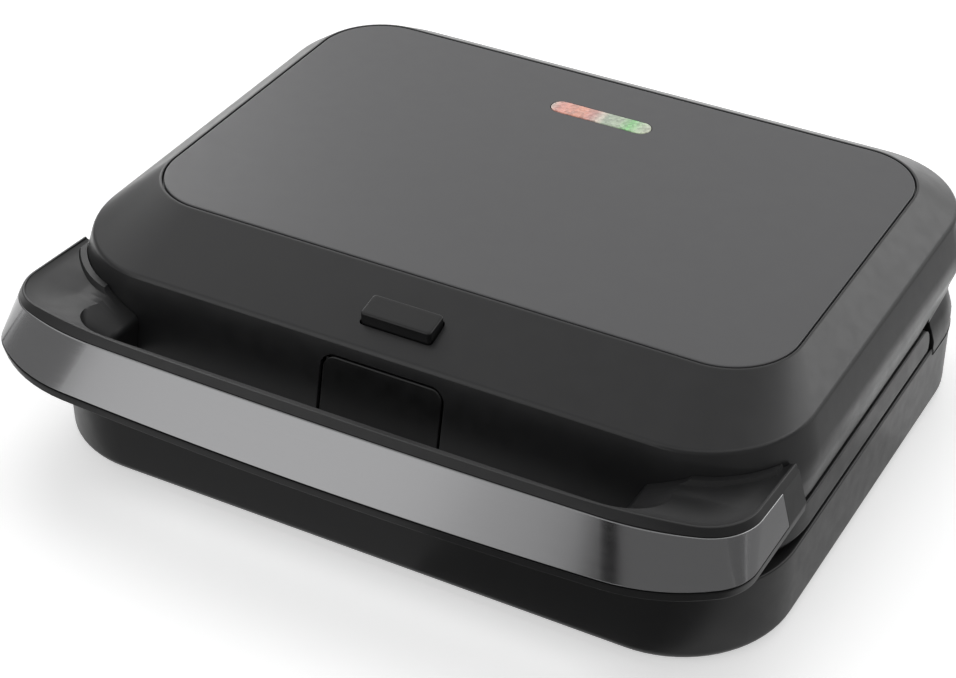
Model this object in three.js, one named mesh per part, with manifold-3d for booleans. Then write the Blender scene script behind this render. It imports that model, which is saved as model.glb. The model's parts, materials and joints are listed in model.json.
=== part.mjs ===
// A three-in-one sandwich maker: a countertop cooker with a hinged lid, shown shut.
// Millimetres, +Z up, +X to the right and +Y to the rear. The origin is on the surface that it stands on,
// below the middle of its outline.
import * as THREE from 'three';
import { mergeVertices } from 'three/addons/utils/BufferGeometryUtils.js';
import Module from 'manifold-3d';

const wasm = await Module();
wasm.setup();

// Sizes that many pieces share
const WALL = 2.5; // moulded walls
const SHEET = 1; // pressed metal sheet
const CLEAR = 0.3; // between pieces that touch
const RUN = 0.8; // beside pieces that move
const OVERRUN = 6; // how far a cut runs past what it cuts
const MERGE = 0.0005; // vertices closer than this are one

// The base's rim in plan: half its width, and its front and rear edges
const HALF_WIDTH = 153.8;
const FRONT = -106.5;
const REAR = 131.5;

// Heights of the main seams from the table up, each from the one below it
const rise = {
  foot: 3,
  baseEdge: 2,
  baseWall: 29.8,
  seam: 1.4,
  frame: 13.1,
  hoodRearDrop: 2.2,
  hoodWall: 9.3,
  bulge: 6,
  side: 15.1,
  shoulder: 8.8,
  panel: 2.3,
};
const level = { foot: rise.foot };
level.baseEdge = level.foot + rise.baseEdge;
level.baseTop = level.baseEdge + rise.baseWall;
level.frameBottom = level.baseTop + rise.seam;
level.frameTop = level.frameBottom + rise.frame;
level.hoodBottom = level.frameTop + rise.seam;
level.hoodRear = level.hoodBottom - rise.hoodRearDrop;
level.bulgeLow = level.hoodBottom + rise.hoodWall;
level.bulge = level.bulgeLow + rise.bulge;
level.edge = level.bulge + rise.side;
level.recess = level.edge + rise.shoulder;
level.panelTop = level.recess + rise.panel;

// The hinge axis runs along X
const hinge = {
  inset: 6.5,
  drop: 0.7,
  pinRadius: 3,
  pinReach: 6,
  lugRadius: 8,
  knuckleRadius: 9,
  barrelRadius: 12,
};
hinge.y = REAR - hinge.inset;
hinge.z = level.hoodBottom - hinge.drop;

// How far each plan outline's sides, front and rear stand inside the base's rim, its corner radii, and how far its
// front edge bows out
const inset = {
  baseFoot: { sides: 1.8, front: 1.5, rear: 1.5, corner: 43.5, rearCorner: 40 },
  baseWall: { sides: 0.3, front: 0, rear: 0, corner: 45, rearCorner: 41.5 },
  baseRim: { sides: 0, front: 0, rear: 0, corner: 45, rearCorner: 41.5 },
  hoodLow: { sides: 2, front: 13.5, rear: -5.5, corner: 45, rearCorner: 42 },
  hoodBulgeLow: { sides: 0, front: 15.7, rear: -5.5, corner: 44.5, rearCorner: 42 },
  hoodBulge: { sides: 0, front: 17.1, rear: -5.5, corner: 44.2, rearCorner: 42.2 },
  hoodEdge: { sides: 3.8, front: 20.7, rear: -5.5, corner: 42.8, rearCorner: 42.8 },
  panel: { sides: 19.6, front: 57.5, rear: 15, corner: 27, rearCorner: 27 },
  frameRing: { sides: 0, front: 11.5, rear: 0, corner: 45, rearCorner: 41.5 },
  plate: { sides: 21.8, front: 26.5, rear: 47.5, corner: 12, rearCorner: 12 },
  handleLow: { sides: -0.7, front: -22.5, rear: 71.5, corner: 32, rearCorner: 20, bow: 4.7 },
  handleBulge: { sides: -2, front: -25.6, rear: 71.5, corner: 33.3, rearCorner: 20, bow: 4.8 },
  handleRim: { sides: -0.3, front: -12.3, rear: 71.5, corner: 27.3, rearCorner: 20, bow: 4.1 },
  fingerHole: { sides: 37.8, front: -7.5, rear: 0, corner: 24, rearCorner: 10 },
};

function planFrom({ sides, front, rear, corner, rearCorner, bow = 0 }) {
  return {
    half: HALF_WIDTH - sides,
    front: FRONT + front,
    rear: REAR - rear,
    frontRadius: corner,
    rearRadius: rearCorner,
    bow,
  };
}

const baseFoot = planFrom(inset.baseFoot);
const baseWall = planFrom(inset.baseWall);
const baseRim = planFrom(inset.baseRim);
const hoodLow = planFrom(inset.hoodLow);
const hoodBulgeLow = planFrom(inset.hoodBulgeLow);
const hoodBulge = planFrom(inset.hoodBulge);
const hoodEdge = planFrom(inset.hoodEdge);
const panel = planFrom(inset.panel);
const frameRing = planFrom(inset.frameRing);
const plate = planFrom(inset.plate);
const handleLow = planFrom(inset.handleLow);
const handleBulge = planFrom(inset.handleBulge);
const handleRim = planFrom(inset.handleRim);

// The opening behind the handle's bar, for the fingers
const fingerDepth = 36.5;
const fingerHole = planFrom(inset.fingerHole);
fingerHole.rear = FRONT + fingerDepth;

// How finely round stretches are divided
const CORNER_STEPS = 5;
const FRONT_STEPS = 6;
const ROUND_SIDES = 12;
const SCREW_SIDES = 8;

const ALONG_X = 'x';
const ALONG_Y = 'y';
const ALONG_Z = 'z';
const QUARTER_TURN = Math.PI / 2;

// Solids

function solid(geometry) {
  geometry.deleteAttribute('normal');
  geometry.deleteAttribute('uv');
  const merged = mergeVertices(geometry, MERGE);
  const vertProperties = new Float32Array(merged.attributes.position.array);
  const triVerts = new Uint32Array(merged.index.array);
  return new wasm.Manifold(new wasm.Mesh({ numProp: 3, vertProperties, triVerts }));
}

function join(pieces) {
  return pieces.reduce((whole, piece) => whole.add(piece));
}

function cut(body, tools) {
  return tools.reduce((left, tool) => left.subtract(tool), body);
}

// A solid with its mirror image on the object's other side
function pair(piece) {
  return piece.add(piece.mirror([1, 0, 0]));
}

function box(x, y, z) {
  const geometry = new THREE.BoxGeometry(x[1] - x[0], y[1] - y[0], z[1] - z[0]);
  geometry.translate((x[0] + x[1]) / 2, (y[0] + y[1]) / 2, (z[0] + z[1]) / 2);
  return solid(geometry);
}

// A rod along one axis: its span on that axis, then its two other coordinates in the order x, y, z
function rod(axis, radius, span, first, second, sides = ROUND_SIDES) {
  const geometry = new THREE.CylinderGeometry(radius, radius, span[1] - span[0], sides);
  const middle = (span[0] + span[1]) / 2;
  if (axis === ALONG_X) {
    geometry.rotateZ(QUARTER_TURN);
    geometry.translate(middle, first, second);
  } else if (axis === ALONG_Y) {
    geometry.translate(first, middle, second);
  } else {
    geometry.rotateX(QUARTER_TURN);
    geometry.translate(first, second, middle);
  }
  return solid(geometry);
}

// Points swept along one axis: [y, z] along X, [x, z] along Y, [x, y] along Z
function prism(axis, points, span) {
  const shape = new THREE.Shape(points.map(([u, v]) => new THREE.Vector2(u, v)));
  const geometry = new THREE.ExtrudeGeometry(shape, { depth: span[1] - span[0], bevelEnabled: false });
  if (axis === ALONG_X) {
    geometry.rotateX(QUARTER_TURN);
    geometry.rotateZ(QUARTER_TURN);
    geometry.translate(span[0], 0, 0);
  } else if (axis === ALONG_Y) {
    geometry.rotateX(QUARTER_TURN);
    geometry.translate(0, span[1], 0);
  } else {
    geometry.translate(0, 0, span[0]);
  }
  return solid(geometry);
}

// Points on an arc about [u, v], both ends included
function arc(u, v, radius, from, to, steps = CORNER_STEPS) {
  const points = [];
  for (let i = 0; i <= steps; i += 1) {
    const angle = from + ((to - from) * i) / steps;
    points.push([u + radius * Math.cos(angle), v + radius * Math.sin(angle)]);
  }
  return points;
}

// An outline's points [x, y] in plan, grown outwards by one distance; a bowed front has more of them
function outline(plan, grow = 0) {
  const half = plan.half + grow;
  const front = plan.front - grow;
  const rear = plan.rear + grow;
  const frontRadius = Math.max(plan.frontRadius + grow, CLEAR);
  const rearRadius = Math.max(plan.rearRadius + grow, CLEAR);
  const points = arc(-half + frontRadius, front + frontRadius, frontRadius, 2 * QUARTER_TURN, 3 * QUARTER_TURN);
  for (let i = 1; i < FRONT_STEPS && plan.bow > 0; i += 1) {
    const share = (2 * i) / FRONT_STEPS - 1;
    points.push([share * (half - frontRadius), front - plan.bow * (1 - share * share)]);
  }
  points.push(...arc(half - frontRadius, front + frontRadius, frontRadius, -QUARTER_TURN, 0));
  points.push(...arc(half - rearRadius, rear - rearRadius, rearRadius, 0, QUARTER_TURN));
  points.push(...arc(-half + rearRadius, rear - rearRadius, rearRadius, QUARTER_TURN, 2 * QUARTER_TURN));
  return points;
}

// One plan outline between two others
function between(low, high, share) {
  const plan = {};
  for (const key of Object.keys(low)) {
    plan[key] = low[key] + (high[key] - low[key]) * share;
  }
  return plan;
}

// A closed body through rings of points [x, y, z], all rings with as many points, from the bottom up
function loft(rings) {
  const count = rings[0].length;
  const index = [];
  for (let ring = 0; ring + 1 < rings.length; ring += 1) {
    for (let i = 0; i < count; i += 1) {
      const a = ring * count + i;
      const b = ring * count + ((i + 1) % count);
      index.push(a, b, b + count, a, b + count, a + count);
    }
  }
  const top = (rings.length - 1) * count;
  const flat = (ring) => ring.map(([x, y]) => new THREE.Vector2(x, y));
  for (const [a, b, c] of THREE.ShapeUtils.triangulateShape(flat(rings[0]), [])) {
    index.push(a, c, b);
  }
  for (const [a, b, c] of THREE.ShapeUtils.triangulateShape(flat(rings[rings.length - 1]), [])) {
    index.push(top + a, top + b, top + c);
  }
  const geometry = new THREE.BufferGeometry();
  geometry.setAttribute('position', new THREE.Float32BufferAttribute(rings.flat(2), 3));
  geometry.setIndex(index);
  return solid(geometry);
}

function ringAt(plan, z, grow = 0) {
  return outline(plan, grow).map(([x, y]) => [x, y, z]);
}

// A straight-sided slab of one outline
function slab(plan, z, grow = 0) {
  return loft([ringAt(plan, z[0], grow), ringAt(plan, z[1], grow)]);
}

// A round tube along a path
function tube(path, radius, steps, sides) {
  const circle = arc(0, 0, radius, 0, 4 * QUARTER_TURN, sides).slice(0, sides);
  const shape = new THREE.Shape(circle.map(([u, v]) => new THREE.Vector2(u, v)));
  return solid(new THREE.ExtrudeGeometry(shape, { steps, extrudePath: path, bevelEnabled: false }));
}

// Materials, one for each finish
const finish = {
  shellBlack: { color: 0x1d1d1f, roughness: 0.5, metalness: 0 },
  hoodCharcoal: { color: 0x38383b, roughness: 0.45, metalness: 0.2 },
  panelGrey: { color: 0x626266, roughness: 0.4, metalness: 0.4 },
  bandMetal: { color: 0x8c8c8f, roughness: 0.3, metalness: 0.9 },
  castDark: { color: 0x2b2a29, roughness: 0.6, metalness: 0.1 },
  steel: { color: 0xb9bbbd, roughness: 0.35, metalness: 1 },
  darkSteel: { color: 0x5f5c58, roughness: 0.4, metalness: 1 },
  rubber: { color: 0x141414, roughness: 0.9, metalness: 0 },
  ceramic: { color: 0xe4dfd2, roughness: 0.7, metalness: 0 },
  board: { color: 0x2f5d3a, roughness: 0.6, metalness: 0 },
  clear: { color: 0xd8dcd8, roughness: 0.1, metalness: 0 },
  red: { color: 0xc8452c, roughness: 0.3, metalness: 0 },
  green: { color: 0x3f8f3c, roughness: 0.3, metalness: 0 },
};

const maker = new THREE.Group();
maker.name = 'sandwich_maker';

// Adds one named sub-part to the object
function part(name, body, look) {
  const mesh = body.getMesh();
  const geometry = new THREE.BufferGeometry();
  geometry.setAttribute('position', new THREE.Float32BufferAttribute(mesh.vertProperties, mesh.numProp));
  geometry.setIndex(Array.from(mesh.triVerts));
  const node = new THREE.Mesh(geometry, new THREE.MeshStandardMaterial(look));
  node.name = name;
  maker.add(node);
}

// Adds a sub-part on the right and its mirror image on the left
function sidedPart(name, body, look) {
  part(`${name}_right`, body, look);
  part(`${name}_left`, body.mirror([1, 0, 0]), look);
}

// Screws: a shank on Z with a head at its lower end
const screw = { headRadius: 2.7, headHeight: 1.2, shankRadius: 1.4, length: 10, bossRadius: 3.6, seat: 1.6 };

function screwAt([x, y], bottom, length = screw.length) {
  const head = rod(ALONG_Z, screw.headRadius, [bottom, bottom + screw.headHeight], x, y, SCREW_SIDES);
  const shankTop = bottom + length;
  const shank = rod(ALONG_Z, screw.shankRadius, [bottom + screw.headHeight / 2, shankTop], x, y, SCREW_SIDES);
  return head.add(shank);
}

// The room that a screw needs: its head's recess up from a bottom face and its shank's hole
function screwRoom([x, y], face, length = screw.length) {
  const recess = [face - OVERRUN, face + screw.seat];
  const hole = [face, face + length + CLEAR + CLEAR];
  const head = rod(ALONG_Z, screw.headRadius + CLEAR, recess, x, y, SCREW_SIDES);
  return head.add(rod(ALONG_Z, screw.shankRadius + CLEAR, hole, x, y, SCREW_SIDES));
}

// Cooking plates: a cast slab with four drafted three-cornered pockets, two to a slice
const plateSize = {
  thickness: 12,
  half: 0.2, // from the parting plane to each plate's face
  pocketDepth: 8.5,
  rim: 9,
  rib: 4,
  draft: 3,
  tabInset: 62,
  tabWidth: 20,
  tabReach: 4,
  tabHeight: 3,
  lugReach: 5,
  lugHeight: 3,
};
plateSize.tabFrom = plate.half - plateSize.tabInset;
plateSize.tabTo = plateSize.tabFrom + plateSize.tabWidth;
const partingZ = (level.baseTop + level.frameBottom) / 2;
const lowerPlate = { top: partingZ - plateSize.half, bottom: partingZ - plateSize.half - plateSize.thickness };
const upperPlate = { bottom: partingZ + plateSize.half, top: partingZ + plateSize.half + plateSize.thickness };

// One pocket as a solid that widens towards the plate's face at z[1]
function pocket(corners, z) {
  const middle = [0, 1].map((k) => corners.reduce((sum, corner) => sum + corner[k], 0) / corners.length);
  const reach = Math.hypot(corners[0][0] - middle[0], corners[0][1] - middle[1]);
  const drawnIn = 1 - plateSize.draft / reach;
  const floor = corners.map(([x, y]) => [
    middle[0] + (x - middle[0]) * drawnIn,
    middle[1] + (y - middle[1]) * drawnIn,
    z[0],
  ]);
  const mouth = corners.map(([x, y]) => [x, y, z[1]]);
  return loft([floor, mouth]);
}

// The slab and pockets of a plate whose face looks up
function plateBody(z) {
  const right = plate.half - plateSize.rim;
  const left = plateSize.rim / 2;
  const front = plate.front + plateSize.rim;
  const rear = plate.rear - plateSize.rim;
  const slant = plateSize.rib;
  const depth = [z[1] - plateSize.pocketDepth, z[1] + CLEAR];
  const outer = pocket([[left + slant, front], [right, front], [right, rear - slant]], depth);
  const inner = pocket([[left, front + slant], [right - slant, rear], [left, rear]], depth);
  const tab = box(
    [plateSize.tabFrom, plateSize.tabTo],
    [plate.rear - plateSize.rim, plate.rear + plateSize.tabReach],
    [z[0] + plateSize.lugReach, z[0] + plateSize.lugReach + plateSize.tabHeight],
  );
  return slab(plate, z).subtract(pair(outer.add(inner))).add(pair(tab));
}

// Pressed tray behind each plate, its floor down
const tray = { gap: 2, lip: 2.5, postRadius: 5, sideInset: 60, frontInset: 35, rearInset: 51, holeRadius: 4 };
tray.postX = plate.half - tray.sideInset;
tray.postFrontY = plate.front + tray.frontInset;
tray.postRearY = plate.rear - tray.rearInset;

// Heating elements: one sheathed tube bent into an M, its two ends out through the tray's rear wall
const element = {
  radius: 3.3,
  sideInset: 27,
  innerX: 40,
  terminalX: 25,
  frontInset: 24,
  middle: 6,
  rearInset: 26,
  overhang: 11,
  bend: 16,
  steps: 56,
  sides: 6,
};
element.outerX = plate.half - element.sideInset;
element.front = plate.front + element.frontInset;
element.rear = plate.rear - element.rearInset;
element.end = plate.rear + element.overhang;
const lowerElementZ = lowerPlate.bottom - CLEAR - element.radius;
const upperElementZ = upperPlate.top + CLEAR + element.radius;

function elementTube(z) {
  const half = [
    [element.terminalX, element.end],
    [element.terminalX, element.rear],
    [element.outerX, element.rear],
    [element.outerX, element.front],
    [element.innerX, element.front],
    [element.innerX, element.middle],
  ];
  const mirrored = half.map(([x, y]) => [-x, y]);
  const corners = [...mirrored, ...half.reverse()].map(([x, y]) => new THREE.Vector3(x, y, z));
  const path = new THREE.CurvePath();
  let from = corners[0];
  for (let i = 1; i + 1 < corners.length; i += 1) {
    const before = corners[i - 1].clone().sub(corners[i]).setLength(element.bend).add(corners[i]);
    const after = corners[i + 1].clone().sub(corners[i]).setLength(element.bend).add(corners[i]);
    path.add(new THREE.LineCurve3(from, before));
    path.add(new THREE.QuadraticBezierCurve3(before, corners[i], after));
    from = after;
  }
  path.add(new THREE.LineCurve3(from, corners[corners.length - 1]));
  return tube(path, element.radius, element.steps, element.sides);
}

const clip = { half: 6, y: 12 };

function elementClip(z) {
  const x = element.outerX;
  return box([x - clip.half, x + clip.half], [clip.y - clip.half, clip.y + clip.half], z);
}

// Base shell
const flange = { thickness: 3, opening: 1 };
const coverScrew = { sideInset: 8.8, frontInset: 66.5, backInset: 81.8, rearInset: 9.5 };
const coverPlaces = [
  [HALF_WIDTH - coverScrew.sideInset, FRONT + coverScrew.frontInset],
  [HALF_WIDTH - coverScrew.backInset, REAR - coverScrew.rearInset],
];
const coverTop = level.foot + WALL;
const knuckle = { inset: 61.8, width: 16, ahead: 9, behind: 6 };
knuckle.from = HALF_WIDTH - knuckle.inset;
knuckle.to = knuckle.from + knuckle.width;
knuckle.front = hinge.y - knuckle.ahead;
knuckle.rear = hinge.y + knuckle.behind;
const latchSlot = { half: 12, frontInset: 7.1, length: 15 };
latchSlot.front = FRONT + latchSlot.frontInset;
latchSlot.rear = latchSlot.front + latchSlot.length;
const inlet = { inset: 83.8, rise: 13, radius: 5.7, collar: 7.6, bore: 3.3, length: 3 };
inlet.x = inlet.inset - HALF_WIDTH;
inlet.z = level.baseEdge + inlet.rise;

// The raised rear corners, and how they draw in at depths below their tops
const ear = { width: 14.8, length: 54.5, drop: 2.3, corner: 5 };
ear.insideX = HALF_WIDTH - ear.width;
ear.front = REAR - ear.length;
ear.top = level.frameTop - ear.drop;
const earRound = [
  { depth: 9, drawnIn: 0 },
  { depth: 4, drawnIn: 1.5 },
  { depth: 1.2, drawnIn: 3.2 },
  { depth: 0, drawnIn: 4.5 },
];

// The lower plate's catch and button sit in the left wall, on pins along Y
const lowerCatch = {
  pinInset: 8.5,
  pinDrop: 10.8,
  pinRadius: 1.5,
  hubRadius: 3,
  halfWidth: 4.5,
  outside: 1.5,
  inside: 0.9,
  noseReach: 5.3,
  tail: 11,
  noseRise: 8.3,
  noseHeight: 1.9,
  lugInner: 11,
  lugOuter: 14,
};
lowerCatch.pinX = -plate.half - lowerCatch.pinInset;
lowerCatch.pinZ = level.baseTop - lowerCatch.pinDrop;
lowerCatch.plateLeft = lowerCatch.pinX - lowerCatch.outside;
lowerCatch.plateRight = lowerCatch.pinX + lowerCatch.inside;
lowerCatch.noseTip = lowerCatch.pinX + lowerCatch.noseReach;
lowerCatch.low = lowerCatch.pinZ - lowerCatch.tail;
lowerCatch.noseLow = lowerCatch.pinZ + lowerCatch.noseRise;
lowerCatch.noseTop = lowerCatch.noseLow + lowerCatch.noseHeight;
const lowerButton = {
  halfWidth: 8,
  rise: 4.5,
  height: 9,
  proud: 1.8,
  rim: 1.4,
  flangeThick: 1.5,
  nubHalf: 3,
  nubRise: 5.5,
};
lowerButton.low = level.baseEdge + lowerButton.rise;
lowerButton.high = lowerButton.low + lowerButton.height;
lowerButton.nubZ = lowerButton.low + lowerButton.nubRise;
const lowerFlangeZ = level.baseTop - flange.thickness;

function earBody(grow) {
  const top = ear.top + grow;
  const drawn = earRound.map(({ depth, drawnIn }) => ringAt(baseRim, top - depth, grow - drawnIn));
  const rings = [ringAt(baseRim, lowerFlangeZ, grow), ...drawn];
  const side = [
    [ear.front - grow, lowerFlangeZ - OVERRUN],
    [baseRim.rear + OVERRUN, lowerFlangeZ - OVERRUN],
    [baseRim.rear + OVERRUN, top],
    ...arc(ear.front - grow + ear.corner, top - ear.corner, ear.corner, QUARTER_TURN, 2 * QUARTER_TURN),
  ];
  return pair(loft(rings).intersect(prism(ALONG_X, side, [ear.insideX - grow, baseRim.half + OVERRUN])));
}

function baseShell() {
  const outer = loft([
    ringAt(baseFoot, level.foot),
    ringAt(baseWall, level.baseEdge),
    ringAt(baseRim, level.baseTop),
  ]).add(earBody(0));
  const hollow = loft([
    ringAt(baseFoot, level.foot - OVERRUN, -WALL),
    ringAt(baseFoot, coverTop + CLEAR, -WALL),
    ringAt(baseWall, coverTop + WALL, -WALL),
    ringAt(baseRim, lowerFlangeZ, -WALL),
  ]).add(earBody(-WALL));
  const stem = box([knuckle.from, knuckle.to], [knuckle.front, knuckle.rear], [lowerFlangeZ, hinge.z]);
  const eye = rod(ALONG_X, hinge.knuckleRadius, [knuckle.from, knuckle.to], hinge.y, hinge.z);
  const pinHoleX = [knuckle.from - OVERRUN, knuckle.to + OVERRUN];
  const pinHole = rod(ALONG_X, hinge.pinRadius + CLEAR, pinHoleX, hinge.y, hinge.z);
  const bosses = coverPlaces.map(([x, y]) =>
    rod(ALONG_Z, screw.bossRadius, [coverTop + CLEAR, lowerFlangeZ + CLEAR], x, y),
  );
  const bossHoles = coverPlaces.map((place) => screwRoom(place, level.foot));
  const openingZ = [lowerFlangeZ - OVERRUN, level.baseTop + OVERRUN];
  const notchX = [lowerCatch.plateLeft - OVERRUN - WALL, -plate.half];
  const notch = box(notchX, [-lowerCatch.halfWidth - RUN, lowerCatch.halfWidth + RUN], openingZ);
  const slot = box([-latchSlot.half, latchSlot.half], [latchSlot.front, latchSlot.rear], openingZ);
  const lug = box(
    [-baseWall.half + WALL / 2, lowerCatch.pinX + lowerCatch.hubRadius],
    [lowerCatch.lugInner, lowerCatch.lugOuter],
    [lowerCatch.pinZ - lowerCatch.hubRadius, lowerFlangeZ + CLEAR],
  );
  const lugs = lug.add(lug.mirror([0, 1, 0]));
  const lugSpan = [-lowerCatch.lugOuter - OVERRUN, lowerCatch.lugOuter + OVERRUN];
  const lugHole = rod(ALONG_Y, lowerCatch.pinRadius + CLEAR, lugSpan, lowerCatch.pinX, lowerCatch.pinZ);
  const buttonHole = box(
    [-baseWall.half - OVERRUN, -baseWall.half + OVERRUN],
    [-lowerButton.halfWidth - CLEAR, lowerButton.halfWidth + CLEAR],
    [lowerButton.low - CLEAR, lowerButton.high + CLEAR],
  );
  const inletY = [baseWall.rear - OVERRUN, baseWall.rear + OVERRUN];
  const inletHole = rod(ALONG_Y, inlet.radius + CLEAR, inletY, inlet.x, inlet.z);
  const shell = join([outer.subtract(hollow), pair(stem.add(eye)), pair(join(bosses)), lugs]);
  return cut(shell, [
    slab(plate, openingZ, flange.opening),
    pair(pinHole),
    pair(join(bossHoles)),
    notch,
    slot,
    lugHole,
    buttonHole,
    inletHole,
  ]);
}

const foot = { radius: 9, sideInset: 35.8, frontInset: 34.5, rearInset: 31.5, stem: 3, cap: 4.2, capRise: 1.6 };
foot.x = HALF_WIDTH - foot.sideInset;
foot.frontY = FRONT + foot.frontInset;
foot.rearY = REAR - foot.rearInset;

function footAt(x, y) {
  const padTop = level.foot - CLEAR;
  const capBottom = coverTop + CLEAR;
  return join([
    rod(ALONG_Z, foot.radius, [0, padTop], x, y),
    rod(ALONG_Z, foot.stem, [padTop - CLEAR, capBottom + CLEAR], x, y),
    rod(ALONG_Z, foot.cap, [capBottom, capBottom + foot.capRise], x, y),
  ]);
}

const vent = { half: 12, width: 3, pitch: 8, count: 6, y: 20 };

function bottomCover() {
  const through = [level.foot - OVERRUN, coverTop + OVERRUN];
  const holes = [pair(join(coverPlaces.map((place) => screwRoom(place, level.foot))))];
  for (const y of [foot.frontY, foot.rearY]) {
    holes.push(pair(rod(ALONG_Z, foot.stem + CLEAR, through, foot.x, y)));
  }
  for (let i = 0; i < vent.count; i += 1) {
    const y = vent.y + i * vent.pitch;
    holes.push(box([-vent.half, vent.half], [y, y + vent.width], through));
  }
  return cut(slab(baseFoot, [level.foot, coverTop], -WALL - CLEAR), holes);
}

function lowerTray() {
  const floorZ = lowerElementZ - element.radius - tray.gap - SHEET - SHEET;
  const lipTop = lowerFlangeZ - CLEAR;
  const outer = slab(plate, [floorZ, lipTop], tray.gap + SHEET);
  const lip = slab(plate, [lipTop - SHEET, lipTop], tray.gap + SHEET + tray.lip);
  const inside = slab(plate, [floorZ + SHEET, lipTop + OVERRUN], tray.gap);
  const postZ = [floorZ + SHEET / 2, lowerPlate.bottom - CLEAR];
  const posts = [
    pair(rod(ALONG_Z, tray.postRadius, postZ, tray.postX, 0, SCREW_SIDES)),
    rod(ALONG_Z, tray.postRadius, postZ, 0, tray.postFrontY, SCREW_SIDES),
    rod(ALONG_Z, tray.postRadius, postZ, 0, tray.postRearY, SCREW_SIDES),
  ];
  const wallY = [plate.rear, plate.rear + tray.gap + OVERRUN];
  const terminal = rod(ALONG_Y, tray.holeRadius, wallY, element.terminalX, lowerElementZ);
  const tab = box(
    [plateSize.tabFrom - RUN, plateSize.tabTo + RUN],
    wallY,
    [lowerPlate.bottom + plateSize.lugReach - RUN, lipTop + OVERRUN],
  );
  const lug = box(
    [-plate.half - OVERRUN - OVERRUN, -plate.half],
    [-lowerCatch.halfWidth - RUN, lowerCatch.halfWidth + RUN],
    [lowerCatch.noseLow - CLEAR - plateSize.lugHeight - RUN, lipTop + OVERRUN],
  );
  const wallFront = plate.front - tray.gap - SHEET;
  const latchRoomY = [wallFront - OVERRUN, wallFront];
  const latchRoom = box([-latchSlot.half, latchSlot.half], latchRoomY, [floorZ, lipTop + OVERRUN]);
  const trayBody = join([outer.add(lip).subtract(inside), ...posts]);
  return cut(trayBody, [pair(terminal), pair(tab), lug, latchRoom]);
}

function lowerPlateBody() {
  const lugTop = lowerCatch.noseLow - CLEAR;
  const lug = box(
    [-plate.half - plateSize.lugReach, -plate.half + plateSize.rim / 2],
    [-lowerCatch.halfWidth, lowerCatch.halfWidth],
    [lugTop - plateSize.lugHeight, lugTop],
  );
  return plateBody([lowerPlate.bottom, lowerPlate.top]).add(lug);
}

function lowerCatchBody() {
  const c = lowerCatch;
  const span = [-c.halfWidth, c.halfWidth];
  const profile = [
    [c.plateLeft, c.low],
    [c.plateRight, c.low],
    [c.plateRight, c.noseLow],
    [c.noseTip, c.noseLow],
    [c.noseTip, c.noseTop],
    [c.plateLeft, c.noseTop],
  ];
  const hub = rod(ALONG_Y, c.hubRadius, span, c.pinX, c.pinZ);
  const hole = rod(ALONG_Y, c.pinRadius + CLEAR, [span[0] - OVERRUN, span[1] + OVERRUN], c.pinX, c.pinZ);
  return prism(ALONG_Y, profile, span).add(hub).subtract(hole);
}

function lowerCatchSpring() {
  const c = lowerCatch;
  const span = [c.halfWidth + CLEAR, c.lugInner - CLEAR];
  const wire = rod(ALONG_Y, c.pinRadius + CLEAR + SHEET, span, c.pinX, c.pinZ);
  const bore = rod(ALONG_Y, c.pinRadius + CLEAR, [span[0] - OVERRUN, span[1] + OVERRUN], c.pinX, c.pinZ);
  return wire.subtract(bore);
}

function lowerButtonBody() {
  const b = lowerButton;
  const inside = -baseWall.half + WALL;
  const rimX = [inside + RUN, inside + RUN + b.flangeThick];
  const cap = box([-baseWall.half - b.proud, rimX[1]], [-b.halfWidth, b.halfWidth], [b.low, b.high]);
  const rim = box(rimX, [-b.halfWidth - b.rim, b.halfWidth + b.rim], [b.low - b.rim, b.high + b.rim]);
  const nub = box(
    [rimX[0], lowerCatch.plateLeft - CLEAR],
    [-b.nubHalf, b.nubHalf],
    [b.nubZ - b.nubHalf / 2, b.nubZ + b.nubHalf / 2],
  );
  return join([cap, rim, nub]);
}

const strike = { half: 10, frontInset: 2.8, length: 4.9, thickness: 1.3 };
strike.front = FRONT + strike.frontInset;
strike.rear = strike.front + strike.length;
strike.top = lowerFlangeZ - CLEAR;
strike.bottom = strike.top - strike.thickness;

function latchStrike() {
  return box([-strike.half, strike.half], [strike.front, strike.rear], [strike.bottom, strike.top]);
}

const thermostat = { radius: 8, height: 5.4, y: 22 };
const terminals = { half: 15, rearInset: 33.5, depth: 14, height: 12, bore: 2.6, count: 3 };
terminals.left = inlet.x - terminals.half;
terminals.right = inlet.x + terminals.half;
terminals.front = REAR - terminals.rearInset;
terminals.rear = terminals.front + terminals.depth;
terminals.y = (terminals.front + terminals.rear) / 2;
terminals.pitch = (terminals.right - terminals.left) / terminals.count;
terminals.bottom = coverTop + CLEAR;
terminals.top = terminals.bottom + terminals.height;
terminals.boreBottom = terminals.bottom + terminals.height / 2;

// The middle of one terminal's bore, counted from the left
function terminalX(i) {
  return terminals.left + terminals.pitch * (i + 1 / 2);
}

function terminalBlock() {
  const blockY = [terminals.front, terminals.rear];
  const block = box([terminals.left, terminals.right], blockY, [terminals.bottom, terminals.top]);
  const boreZ = [terminals.boreBottom, terminals.top + OVERRUN];
  const bores = [];
  for (let i = 0; i < terminals.count; i += 1) {
    bores.push(rod(ALONG_Z, terminals.bore, boreZ, terminalX(i), terminals.y, SCREW_SIDES));
  }
  return cut(block, bores);
}

function cordInlet() {
  const wallIn = baseWall.rear - WALL;
  const bodyY = [wallIn - inlet.length, baseWall.rear + inlet.length];
  const body = rod(ALONG_Y, inlet.radius, bodyY, inlet.x, inlet.z);
  const inner = [wallIn - inlet.length, wallIn - CLEAR];
  const outer = [baseWall.rear + CLEAR, baseWall.rear + inlet.length];
  const collars = rod(ALONG_Y, inlet.collar, inner, inlet.x, inlet.z).add(
    rod(ALONG_Y, inlet.collar, outer, inlet.x, inlet.z),
  );
  const bore = rod(ALONG_Y, inlet.bore, [wallIn - OVERRUN, baseWall.rear + OVERRUN], inlet.x, inlet.z);
  return body.add(collars).subtract(bore);
}

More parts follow.
